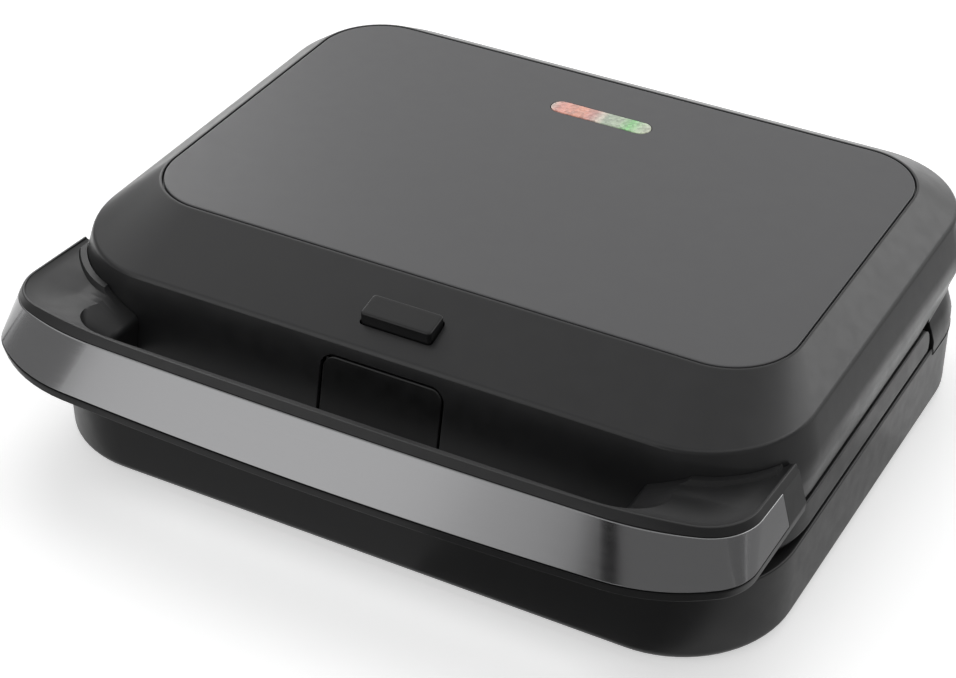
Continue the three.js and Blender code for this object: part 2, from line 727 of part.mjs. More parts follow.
// Insulated leads, each a round tube through the points of its route
const lead = { radius: 1.2, steps: 14, sides: 6, straight: 5, stand: 2, arch: 6, climb: 5, sag: 2, back: 6 };

function leadBody(route) {
  const path = new THREE.CatmullRomCurve3(route.map(([x, y, z]) => new THREE.Vector3(x, y, z)));
  return tube(path, lead.radius, lead.steps, lead.sides);
}

// From one terminal up and over to one end of the lower element, some way behind the block's middle
function baseLead(terminal, elementX, back) {
  const x = terminalX(terminal);
  const top = terminals.top + lead.arch;
  const endY = element.end + CLEAR;
  const farY = endY + lead.straight;
  return leadBody([
    [x, terminals.y, terminals.boreBottom + CLEAR],
    [x, terminals.y, terminals.top + lead.stand],
    [(x + x + elementX) / 3, terminals.y + back, top],
    [(x + elementX + elementX) / 3, terminals.y + back, top],
    [elementX, farY, lowerElementZ],
    [elementX, endY, lowerElementZ],
  ]);
}

function baseParts() {
  part('base_housing', baseShell(), finish.shellBlack);
  part('base_bottom_cover', bottomCover(), finish.shellBlack);
  sidedPart('base_screw_front', screwAt(coverPlaces[0], level.foot + CLEAR), finish.steel);
  sidedPart('base_screw_rear', screwAt(coverPlaces[1], level.foot + CLEAR), finish.steel);
  part('foot_front_left', footAt(-foot.x, foot.frontY), finish.rubber);
  part('foot_front_right', footAt(foot.x, foot.frontY), finish.rubber);
  part('foot_rear_left', footAt(-foot.x, foot.rearY), finish.rubber);
  part('foot_rear_right', footAt(foot.x, foot.rearY), finish.rubber);
  part('lower_reflector', lowerTray(), finish.steel);
  part('lower_heating_element', elementTube(lowerElementZ), finish.darkSteel);
  const trayFloor = lowerElementZ - element.radius - tray.gap - SHEET;
  const clipZ = [trayFloor + CLEAR, lowerElementZ - element.radius - CLEAR];
  sidedPart('lower_element_clip', elementClip(clipZ), finish.steel);
  part('lower_cooking_plate', lowerPlateBody(), finish.castDark);
  const pinSpan = [-lowerCatch.lugOuter, lowerCatch.lugOuter];
  const pin = rod(ALONG_Y, lowerCatch.pinRadius, pinSpan, lowerCatch.pinX, lowerCatch.pinZ, SCREW_SIDES);
  part('lower_catch_pin', pin, finish.steel);
  part('lower_catch_spring', lowerCatchSpring(), finish.steel);
  part('lower_plate_catch', lowerCatchBody(), finish.steel);
  part('lower_release_button', lowerButtonBody(), finish.shellBlack);
  part('latch_strike', latchStrike(), finish.steel);
  const discTop = trayFloor - SHEET - CLEAR;
  const disc = rod(ALONG_Z, thermostat.radius, [discTop - thermostat.height, discTop], 0, thermostat.y);
  part('lower_thermostat', disc, finish.ceramic);
  part('terminal_block', terminalBlock(), finish.ceramic);
  part('cord_inlet_bushing', cordInlet(), finish.rubber);
  part('base_lead_left', baseLead(terminals.count - 1, -element.terminalX, 0), finish.ceramic);
  part('base_lead_right', baseLead(0, element.terminalX, lead.back), finish.ceramic);
  const pinX = [knuckle.from - hinge.pinReach, knuckle.to + hinge.pinReach];
  sidedPart('hinge_pin', rod(ALONG_X, hinge.pinRadius, pinX, hinge.y, hinge.z), finish.steel);
}

// Lid hood: a deep shell whose rear wall rolls round the hinge axis
const hoodSeam = { undercutRear: 2.5, bevelRise: 5, frontInset: 44.5, rearInset: 51.5 };
hoodSeam.from = FRONT + hoodSeam.frontInset;
hoodSeam.to = REAR - hoodSeam.rearInset;
const shoulder = { rim: 1.2, drop: 0.2, innerEdge: 1.7, innerTop: 2.4 };
const knuckleSlot = { gap: 1.5, above: 11.5, ahead: 7 };
const frameScrew = { sideInset: 10.8, frontInset: 76.5, backInset: 93.8, rearInset: 32.5 };
const framePlaces = [
  [HALF_WIDTH - frameScrew.sideInset, FRONT + frameScrew.frontInset],
  [HALF_WIDTH - frameScrew.backInset, REAR - frameScrew.rearInset],
];
const frame = { opening: 0.4, innerWall: 2, earGap: 6, armRound: 6, barOverhang: 4, hingeGap: 12 };
frame.armRear = ear.front - frame.earGap;
frame.barHalf = plate.half + frame.barOverhang;
frame.barRear = hinge.y - frame.hingeGap;
const frameFloor = level.frameBottom + WALL;

// How far towards the rear a point on the side is, from 0 to 1
function rearShare(y) {
  return Math.min(Math.max((y - hoodSeam.from) / (hoodSeam.to - hoodSeam.from), 0), 1);
}

function hoodRings(from, grow = 0) {
  const drawIn = (x, y) => Math.sign(x) * hoodSeam.undercutRear * rearShare(y);
  const bevelZ = (y) => level.bulgeLow + hoodSeam.bevelRise * rearShare(y);
  const low = outline(hoodLow, grow).map(([x, y]) => [x - drawIn(x, y), y]);
  const bevel = outline(hoodBulgeLow, grow).map(([x, y]) => [x, y, bevelZ(y)]);
  return [
    low.map(([x, y]) => [x, y, from]),
    low.map(([x, y]) => [x, y, level.hoodBottom]),
    bevel,
    ringAt(hoodBulge, level.bulge, grow),
    ringAt(hoodEdge, level.edge, grow),
    ringAt(panel, level.panelTop - shoulder.drop, grow + shoulder.rim),
  ];
}

function hoodAt(z) {
  return between(hoodBulge, hoodEdge, (z - level.bulge) / (level.edge - level.bulge));
}

function hoodSide(radius, bottom, rearBottom) {
  const farFront = hoodLow.front - WALL - OVERRUN;
  const farRear = hoodLow.rear + OVERRUN;
  return [
    [farFront, bottom],
    [ear.front - CLEAR - frame.armRound / 2, bottom],
    [ear.front - CLEAR - frame.armRound / 2, rearBottom],
    [hinge.y, rearBottom],
    ...arc(hinge.y, hinge.z, radius, -QUARTER_TURN, 0),
    [farRear, hinge.z],
    [farRear, level.panelTop + OVERRUN],
    [farFront, level.panelTop + OVERRUN],
  ];
}

// Latch lever in the hood's front wall
const lever = {
  half: 25,
  gap: 1,
  rise: 23.8,
  drop: 0.7,
  corner: 5,
  thickness: 2.4,
  shankHalf: 10,
  shankInset: 1.2,
  shankThick: 3,
  shankRise: 3.3,
  noseReach: 5.8,
  noseHeight: 2.5,
  pivotInset: 10.5,
  pivotDrop: 4,
  pinRadius: 1.5,
  earInner: 18,
  earOuter: 24,
  earRadius: 3,
  lugInner: 27,
  lugOuter: 30,
};
lever.top = level.hoodBottom + lever.rise;
lever.bottom = level.hoodBottom - lever.drop;
lever.shankFront = hoodLow.front + lever.shankInset;
lever.shankRear = lever.shankFront + lever.shankThick;
lever.shankTop = level.hoodBottom + lever.shankRise;
lever.noseFront = lever.shankFront - lever.noseReach;
lever.noseTop = strike.bottom - CLEAR;
lever.noseLow = lever.noseTop - lever.noseHeight;
lever.pivotY = hoodLow.front + lever.pivotInset;
lever.pivotZ = lever.top - lever.pivotDrop;

// The upper plate's catch, tipped by the button on the front shoulder
const upperCatch = {
  pinGap: 6,
  pinRise: 4.3,
  pinRadius: 1.5,
  hubRadius: 2.4,
  legInner: 28,
  legOuter: 36,
  legAhead: 2.6,
  legThick: 2,
  noseReach: 3,
  noseThick: 2,
  neckAhead: 0.4,
  neckThick: 2.2,
  armRise: 8.5,
  armThick: 2,
  armReach: 22,
  lugInner: 46,
  lugOuter: 50,
};
upperCatch.pinY = plate.front - upperCatch.pinGap;
upperCatch.pinZ = level.hoodBottom + upperCatch.pinRise;
upperCatch.legFront = upperCatch.pinY - upperCatch.legAhead;
upperCatch.legRear = upperCatch.legFront + upperCatch.legThick;
upperCatch.noseTip = upperCatch.pinY + upperCatch.noseReach;
upperCatch.noseLow = level.frameBottom + CLEAR;
upperCatch.noseTop = upperCatch.noseLow + upperCatch.noseThick;
upperCatch.neckFront = upperCatch.pinY - upperCatch.neckAhead;
upperCatch.neckRear = upperCatch.neckFront + upperCatch.neckThick;
upperCatch.armLow = upperCatch.pinZ + upperCatch.armRise;
upperCatch.armTop = upperCatch.armLow + upperCatch.armThick;
upperCatch.armRear = upperCatch.pinY + upperCatch.armReach;
const upperButton = {
  half: 14.5,
  inset: 10.8,
  length: 13.5,
  rise: 7.3,
  skirtDrop: 3.1,
  rim: 1.6,
  rimThick: 1.4,
  stemRadius: 1.5,
  gap: 0.5,
};
upperButton.front = hoodEdge.front + upperButton.inset;
upperButton.rear = upperButton.front + upperButton.length;
upperButton.top = level.edge + upperButton.rise;
upperButton.skirtLow = level.edge - upperButton.skirtDrop;

// Clear capsule over the two lights, and the board that carries them
const lens = { half: 22.5, radius: 4.5, rearInset: 44, proud: 0.2, step: 1.5, drop: 1.9 };
lens.y = REAR - lens.rearInset;
lens.top = level.panelTop + lens.proud;
lens.bottom = level.recess - lens.drop;
const indicator = { half: 28, depth: 17, thickness: 1.2, drop: 2.8, postX: 24, postRadius: 2 };
const light = { x: 10, radius: 2.3 };
indicator.front = lens.y - indicator.depth / 2;
indicator.rear = lens.y + indicator.depth / 2;
indicator.top = lens.bottom - indicator.drop;
indicator.bottom = indicator.top - indicator.thickness;

function capsule(half, radius, z) {
  const right = arc(half - radius, lens.y, radius, -QUARTER_TURN, QUARTER_TURN);
  const left = arc(-half + radius, lens.y, radius, QUARTER_TURN, 3 * QUARTER_TURN);
  return prism(ALONG_Z, [...right, ...left], z);
}

function frontWallY(z) {
  const share = (z - level.hoodBottom) / (level.edge - level.hoodBottom);
  return hoodLow.front + (hoodEdge.front - hoodLow.front) * share;
}

function hoodShell() {
  const top = level.panelTop + OVERRUN;
  const across = [-hoodBulge.half, hoodBulge.half];
  const side = hoodSide(hinge.barrelRadius, level.hoodBottom, level.hoodRear);
  const outer = loft(hoodRings(hinge.z - hinge.barrelRadius - SHEET)).intersect(prism(ALONG_X, side, across));
  const hollowRings = hoodRings(level.foot, -WALL).slice(0, -2);
  hollowRings.push(ringAt(hoodEdge, level.edge - shoulder.innerEdge, -WALL));
  hollowRings.push(ringAt(panel, level.recess - shoulder.innerTop, -shoulder.rim));
  const hollowSide = hoodSide(hinge.barrelRadius - WALL, level.foot, level.foot);
  const hollow = loft(hollowRings).intersect(prism(ALONG_X, hollowSide, across));
  const core = loft(hoodRings(level.foot, -SHEET)).subtract(slab(panel, [level.recess - SHEET, top], OVERRUN));
  const bossZ = [frameFloor + CLEAR, top];
  const bosses = framePlaces.map(([x, y]) => rod(ALONG_Z, screw.bossRadius, bossZ, x, y));
  const holes = framePlaces.map((place) => screwRoom(place, level.frameBottom));
  const leverLug = box(
    [lever.lugInner, lever.lugOuter],
    [frontWallY(level.edge) - OVERRUN, lever.pivotY + lever.earRadius],
    [lever.pivotZ - lever.earRadius, top],
  );
  const catchLug = box(
    [upperCatch.lugInner, upperCatch.lugOuter],
    [hoodLow.front - OVERRUN, upperCatch.pinY + upperCatch.hubRadius],
    [upperCatch.pinZ - upperCatch.hubRadius, top],
  );
  const postZ = [indicator.top + CLEAR, level.recess - SHEET];
  const post = rod(ALONG_Z, indicator.postRadius, postZ, indicator.postX, lens.y);
  const inside = pair(join([...bosses, leverLug, catchLug])).intersect(core).add(pair(post));
  const leverHole = leverOutline(lever.gap, [hoodLow.front - OVERRUN, frontWallY(level.edge) + WALL + SHEET]);
  const buttonHole = box(
    [-upperButton.half - upperButton.gap, upperButton.half + upperButton.gap],
    [upperButton.front - upperButton.gap, upperButton.rear + upperButton.gap],
    [upperButton.skirtLow, top],
  );
  const knuckleRoom = box(
    [knuckle.from - knuckleSlot.gap, knuckle.to + knuckleSlot.gap],
    [hinge.y - knuckleSlot.ahead, hoodLow.rear + OVERRUN],
    [level.baseTop, hinge.z + knuckleSlot.above],
  );
  const leverPin = [-lever.lugOuter - OVERRUN, lever.lugOuter + OVERRUN];
  const catchPin = [-upperCatch.lugOuter - OVERRUN, upperCatch.lugOuter + OVERRUN];
  return cut(outer.subtract(hollow).add(inside), [
    slab(panel, [level.recess, top], CLEAR),
    leverHole,
    buttonHole,
    capsule(lens.half - lens.step + CLEAR, lens.radius - lens.step + CLEAR, [level.bulge, top]),
    pair(knuckleRoom),
    pair(join(holes)),
    rod(ALONG_X, lever.pinRadius + CLEAR, leverPin, lever.pivotY, lever.pivotZ),
    rod(ALONG_X, upperCatch.pinRadius + CLEAR, catchPin, upperCatch.pinY, upperCatch.pinZ),
  ]);
}

function leverOutline(grow, y) {
  const half = lever.half + grow;
  const top = lever.top + grow;
  const radius = lever.corner + grow;
  const points = [
    [-half, lever.bottom - grow],
    [half, lever.bottom - grow],
    ...arc(half - radius, top - radius, radius, 0, QUARTER_TURN),
    ...arc(-half + radius, top - radius, radius, QUARTER_TURN, 2 * QUARTER_TURN),
  ];
  return prism(ALONG_Y, points, y);
}

function leverBody() {
  const face = (z) => frontWallY(z) + CLEAR;
  const panelSide = [
    [face(lever.bottom - SHEET), lever.bottom - SHEET],
    [face(lever.bottom - SHEET) + lever.thickness, lever.bottom - SHEET],
    [face(lever.top + SHEET) + lever.thickness, lever.top + SHEET],
    [face(lever.top + SHEET), lever.top + SHEET],
  ];
  const front = leverOutline(0, [hoodLow.front - OVERRUN, lever.pivotY]);
  const sheet = front.intersect(prism(ALONG_X, panelSide, [-lever.half, lever.half]));
  const shankSide = [
    [lever.shankFront, lever.shankTop],
    [lever.shankFront, lever.noseTop],
    [lever.noseFront, lever.noseTop],
    [lever.noseFront, lever.noseLow + SHEET],
    [lever.noseFront + SHEET, lever.noseLow],
    [lever.shankRear, lever.noseLow],
    [lever.shankRear, lever.shankTop],
  ];
  const shank = prism(ALONG_X, shankSide, [-lever.shankHalf, lever.shankHalf]);
  const earSpan = [lever.earInner, lever.earOuter];
  const arm = box(
    earSpan,
    [face(lever.pivotZ) + lever.thickness / 2, lever.pivotY],
    [lever.pivotZ - lever.earRadius, lever.pivotZ + lever.earRadius],
  );
  const ears = pair(arm.add(rod(ALONG_X, lever.earRadius, earSpan, lever.pivotY, lever.pivotZ)));
  const bore = rod(ALONG_X, lever.pinRadius + CLEAR, [-lever.half, lever.half], lever.pivotY, lever.pivotZ);
  return join([sheet, shank, ears]).subtract(bore);
}

function upperCatchBody() {
  const c = upperCatch;
  const legSide = [
    [c.legFront, c.noseLow],
    [c.noseTip, c.noseLow],
    [c.noseTip, c.noseTop],
    [c.legRear, c.noseTop],
    [c.legRear, c.pinZ - c.hubRadius],
    [c.neckRear, c.pinZ],
    [c.neckRear, c.armTop],
    [c.neckFront, c.armTop],
    [c.neckFront, c.pinZ],
    [c.legFront, c.pinZ - c.hubRadius],
  ];
  const span = [c.legInner, c.legOuter];
  const leg = prism(ALONG_X, legSide, span).add(rod(ALONG_X, c.hubRadius, span, c.pinY, c.pinZ));
  const arm = box([-c.legOuter, c.legOuter], [c.neckFront + WALL, c.armRear], [c.armLow, c.armTop]);
  const ends = pair(box(span, [c.neckFront, c.armRear], [c.armLow, c.armTop]));
  const bore = rod(ALONG_X, c.pinRadius + CLEAR, [-c.lugOuter, c.lugOuter], c.pinY, c.pinZ);
  return join([pair(leg), arm, ends]).subtract(bore);
}

function upperButtonBody() {
  const b = upperButton;
  const cap = box([-b.half, b.half], [b.front, b.rear], [b.skirtLow, b.top]);
  const rimHalf = b.half + b.rim;
  const rimZ = [b.skirtLow - b.rimThick, b.skirtLow];
  const rim = box([-rimHalf, rimHalf], [b.front - b.rim, b.rear + b.rim], rimZ);
  const middle = (b.front + b.rear) / 2;
  const stem = rod(ALONG_Z, b.stemRadius, [upperCatch.armTop + CLEAR, b.skirtLow], 0, middle);
  return join([cap, rim, stem]);
}

// Lid frame: a ring round the upper plate, with side arms and the handle in one moulding
const handle = {
  seam: 1.8,
  underside: 4.1,
  face: 17.3,
  crown: 0.5,
  rimRound: 0.6,
  length: 44.5,
  dishDepth: 2.9,
  dishInset: 4,
  skin: 2.6,
  webDepth: 4.3,
  coverThick: 2,
};
handle.bottom = level.hoodBottom + handle.seam;
handle.bulge = handle.bottom + handle.underside;
handle.rim = handle.bulge + handle.face;
handle.top = handle.rim + handle.crown;
handle.rear = FRONT + handle.length;
handle.dishZ = handle.rim - handle.dishDepth;
handle.hollowTop = handle.dishZ - handle.skin;
handle.webLow = level.frameTop - handle.webDepth;
const band = { thickness: 1.2, rearInset: 15, edgeGap: 0.3 };
band.rear = handle.rear - band.rearInset;
const handleSkin = band.thickness + CLEAR + WALL;
const handleScrew = { innerX: 45, outerInset: 61.8, inset: 6.6, outerBack: 1, length: 8, skin: 2.4 };
handleScrew.y = handleLow.front + handleScrew.inset;
handleScrew.bossTop = handle.hollowTop - handleScrew.skin;
const handlePlaces = [
  [handleScrew.innerX, handleScrew.y],
  [HALF_WIDTH - handleScrew.outerInset, handleScrew.y + handleScrew.outerBack],
];
const lug = { gap: 1.5, width: 6, armReach: 17, armDrop: 0.5 };

function handleRings(grow, low, high) {
  const plans = [
    [handleLow, handle.bottom],
    [handleBulge, handle.bulge],
    [handleRim, handle.rim],
  ];
  const at = (z) => {
    const upper = z > handle.bulge ? 2 : 1;
    const [lowPlan, lowZ] = plans[upper - 1];
    const [highPlan, highZ] = plans[upper];
    return ringAt(between(lowPlan, highPlan, (z - lowZ) / (highZ - lowZ)), z, grow);
  };
  return low < handle.bulge ? [at(low), at(handle.bulge), at(high)] : [at(low), at(high)];
}

// What is left of a body in front of the side arms, outside the finger opening and outside the lid's ring
function inBarOnly(body, shrink, zone) {
  const behindY = [handle.rear - WALL - shrink, handleLow.rear + OVERRUN];
  const behind = box([-handleBulge.half, handleBulge.half], behindY, zone);
  return cut(body, [behind, slab(fingerHole, zone, WALL + shrink), slab(frameRing, zone, shrink)]);
}

// The space inside the handle's bar and corners, open below
function handleHollow() {
  const z = [handle.bottom - CLEAR, handle.hollowTop];
  return inBarOnly(loft(handleRings(-handleSkin, ...z)), 0, [z[0] - OVERRUN, z[1] + OVERRUN]);
}

function handleBody() {
  const farFront = handleBulge.front - handleBulge.bow - OVERRUN;
  const inFront = (z) => box([-handleBulge.half, handleBulge.half], [farFront, handle.rear], z);
  const rings = handleRings(0, handle.bottom, handle.rim);
  rings.push(ringAt(handleRim, handle.top, -handle.rimRound));
  const outer = loft(rings).intersect(inFront([handle.bottom - OVERRUN, handle.top + OVERRUN]));
  const webZ = [handle.webLow, handle.dishZ];
  const web = slab(frameRing, webZ).intersect(inFront(webZ));
  const top = handle.top + OVERRUN;
  const dish = loft([
    ringAt({ ...hoodAt(handle.dishZ), bow: CLEAR }, handle.dishZ),
    ringAt(handleRim, handle.top + CLEAR, -handle.dishInset),
    ringAt(handleRim, top, -handle.dishInset),
  ]);
  const bandZ = [handle.bulge, handle.rim - CLEAR];
  const bandSpace = box(
    [-handleBulge.half - OVERRUN, handleBulge.half + OVERRUN],
    [farFront, band.rear + band.edgeGap],
    bandZ,
  ).subtract(loft(handleRings(-band.thickness - CLEAR, handle.bottom, handle.rim)));
  const shell = cut(outer.add(web), [
    dish,
    bandSpace,
    loft(hoodRings(level.frameTop, CLEAR)),
    slab(fingerHole, [handle.webLow - OVERRUN, top]),
    handleHollow(),
  ]);
  const coverTopZ = handle.bottom + handle.coverThick;
  const skin = loft(handleRings(-band.thickness - CLEAR, handle.bottom, handle.rim));
  const bosses = handlePlaces.map(([x, y]) =>
    rod(ALONG_Z, screw.bossRadius, [coverTopZ + CLEAR, handleScrew.bossTop], x, y).intersect(skin),
  );
  return cut(shell.add(pair(join(bosses))), handleScrewRooms());
}

function handleScrewRooms() {
  return handlePlaces.map((place) => pair(screwRoom(place, handle.bottom, handleScrew.length)));
}

function bandBody() {
  const z = [handle.bulge + band.edgeGap, handle.rim - CLEAR - band.edgeGap];
  const front = handleBulge.front - handleBulge.bow - OVERRUN;
  const zone = box([-handleBulge.half - OVERRUN, handleBulge.half + OVERRUN], [front, band.rear], z);
  const outer = loft(handleRings(0, handle.bottom, handle.rim));
  const inner = loft(handleRings(-band.thickness, handle.bottom, handle.rim));
  return outer.subtract(inner).intersect(zone);
}

function frameBody() {
  const z = [level.frameBottom, level.frameTop];
  const round = frame.armRound;
  const across = [-frameRing.half, frameRing.half];
  const side = [
    [frameRing.front - OVERRUN, z[0]],
    ...arc(frame.armRear - round, z[0] + round, round, -QUARTER_TURN, 0),
    ...arc(frame.armRear - round, z[1] - round, round, 0, QUARTER_TURN),
    [frameRing.front - OVERRUN, z[1]],
  ];
  const arms = slab(frameRing, z).intersect(prism(ALONG_X, side, across));
  const bar = box([-frame.barHalf, frame.barHalf], [frame.armRear / 2, frame.barRear], z);
  const hollowZ = [frameFloor, level.frameTop + OVERRUN];
  const pastHollow = [z[0], z[1] + OVERRUN + CLEAR];
  const behindArms = box(across, [frame.armRear - WALL, frameRing.rear + OVERRUN], pastHollow);
  const armHollow = slab(frameRing, hollowZ, -WALL).subtract(behindArms);
  const barHollow = box([-frame.barHalf + WALL, frame.barHalf - WALL], [0, frame.barRear - WALL], hollowZ);
  const insideWall = slab(plate, pastHollow, frame.opening + frame.innerWall);
  const groove = armHollow.add(barHollow).subtract(insideWall);
  const through = [z[0] - OVERRUN, z[1] + OVERRUN];
  const insideFront = frameRing.front + WALL;
  const notch = box(
    [upperCatch.legInner - RUN, upperCatch.legOuter + RUN],
    [insideFront, plate.front + plateSize.rim],
    through,
  );
  const slotHalf = lever.shankHalf + RUN + RUN;
  const slot = box([-slotHalf, slotHalf], [insideFront, latchSlot.rear], through);
  const tabSlot = box(
    [plateSize.tabFrom - RUN, plateSize.tabTo + RUN],
    [plate.rear, plate.rear + plateSize.tabReach + RUN],
    hollowZ,
  );
  const eyes = [];
  for (const inner of [knuckle.from - lug.gap - lug.width, knuckle.to + lug.gap]) {
    const span = [inner, inner + lug.width];
    eyes.push(rod(ALONG_X, hinge.lugRadius, span, hinge.y, hinge.z));
    eyes.push(box(span, [hinge.y - lug.armReach, hinge.y], [frameFloor, level.frameTop - lug.armDrop]));
  }
  const pinHoleX = [knuckle.from - lug.width - OVERRUN, knuckle.to + lug.width + OVERRUN];
  const pinHole = rod(ALONG_X, hinge.pinRadius + CLEAR, pinHoleX, hinge.y, hinge.z);
  const holes = framePlaces.map((place) => screwRoom(place, level.frameBottom));
  const terminalY = [plate.rear, plate.rear + tray.gap + SHEET];
  const terminal = rod(ALONG_Y, tray.holeRadius, terminalY, element.terminalX, upperElementZ);
  const ring = arms.add(bar).subtract(groove);
  return cut(join([ring, handleBody(), pair(join(eyes))]), [
    slab(plate, through, frame.opening),
    pair(notch),
    slot,
    pair(tabSlot),
    pair(terminal),
    pair(pinHole),
    pair(join(holes)),
  ]);
}

function handleCoverBody() {
  const z = [handle.bottom, handle.bottom + handle.coverThick];
  const cover = inBarOnly(slab(handleLow, z, -handleSkin - CLEAR), CLEAR, [z[0] - OVERRUN, z[1] + OVERRUN]);
  return cut(cover, handleScrewRooms());
}

function upperTray() {
  const lipBottom = level.frameTop + CLEAR;
  const top = upperElementZ + element.radius + tray.gap + SHEET + SHEET;
  const outer = slab(plate, [lipBottom, top], tray.gap + SHEET);
  const lip = slab(plate, [lipBottom, lipBottom + SHEET], tray.gap + SHEET + tray.lip);
  const inside = slab(plate, [lipBottom - OVERRUN, top - SHEET], tray.gap);
  const postZ = [upperPlate.top + CLEAR, top - SHEET / 2];
  const posts = [
    pair(rod(ALONG_Z, tray.postRadius, postZ, tray.postX, 0, SCREW_SIDES)),
    rod(ALONG_Z, tray.postRadius, postZ, 0, tray.postFrontY, SCREW_SIDES),
    rod(ALONG_Z, tray.postRadius, postZ, 0, tray.postRearY, SCREW_SIDES),
  ];
  const wallY = [plate.rear, plate.rear + tray.gap + OVERRUN];
  const terminal = rod(ALONG_Y, tray.holeRadius, wallY, element.terminalX, upperElementZ);
  return join([outer.add(lip).subtract(inside), ...posts]).subtract(pair(terminal));
}

function upperPlateBody() {
  const lugBottom = upperCatch.noseTop + CLEAR;
  const lug = box(
    [upperCatch.legInner, upperCatch.legOuter],
    [plate.front - plateSize.lugReach, plate.front + plateSize.rim / 2],
    [lugBottom, lugBottom + plateSize.lugHeight],
  );
  const turned = plateBody([lowerPlate.bottom, lowerPlate.top]).mirror([0, 0, 1]);
  return turned.translate([0, 0, partingZ + partingZ]).add(pair(lug));
}

function panelBody() {
  const bottom = level.recess + CLEAR;
  const hole = capsule(lens.half + CLEAR, lens.radius + CLEAR, [bottom - OVERRUN, level.panelTop + OVERRUN]);
  return slab(panel, [bottom, level.panelTop]).subtract(hole);
}

function lensBody() {
  const plugZ = [lens.bottom, level.recess + CLEAR + CLEAR];
  const plug = capsule(lens.half - lens.step, lens.radius - lens.step, plugZ);
  return plug.add(capsule(lens.half, lens.radius, [level.recess + CLEAR, lens.top]));
}

const fuse = { radius: 1.8, from: -52, to: -40, y: 50 };

// A coil spring round a pin along X, as a plain sleeve
function springOn(pinRadius, span, y, z) {
  const inner = pinRadius + CLEAR;
  const bore = rod(ALONG_X, inner, [span[0] - OVERRUN, span[1] + OVERRUN], y, z);
  return rod(ALONG_X, inner + SHEET, span, y, z).subtract(bore);
}

// From one end of the upper element up over the tray to the fuse, and from the fuse to the thermostat
function lidLeads(trayTop, fuseZ) {
  const elementX = -element.terminalX;
  const endY = element.end + CLEAR;
  const risen = trayTop + lead.climb;
  const fuseEnd = fuse.from - CLEAR;
  const fuseStart = fuse.to + CLEAR;
  const discSide = thermostat.radius + CLEAR;
  const toFuse = leadBody([
    [elementX, endY, upperElementZ],
    [elementX, endY + lead.straight, upperElementZ],
    [elementX, endY, risen],
    [fuseEnd - lead.straight, (endY + fuse.y) / 2, risen],
    [fuseEnd - lead.straight - lead.straight, fuse.y + lead.straight, fuseZ + lead.sag],
    [fuseEnd - lead.straight, fuse.y, fuseZ],
    [fuseEnd, fuse.y, fuseZ],
  ]);
  const toThermostat = leadBody([
    [fuseStart, fuse.y, fuseZ],
    [fuseStart + lead.straight, fuse.y, fuseZ],
    [(fuseStart - discSide) / 2, (fuse.y + thermostat.y) / 2, fuseZ + lead.sag],
    [-discSide - lead.straight, thermostat.y, fuseZ],
    [-discSide, thermostat.y, fuseZ],
  ]);
  return [toFuse, toThermostat];
}

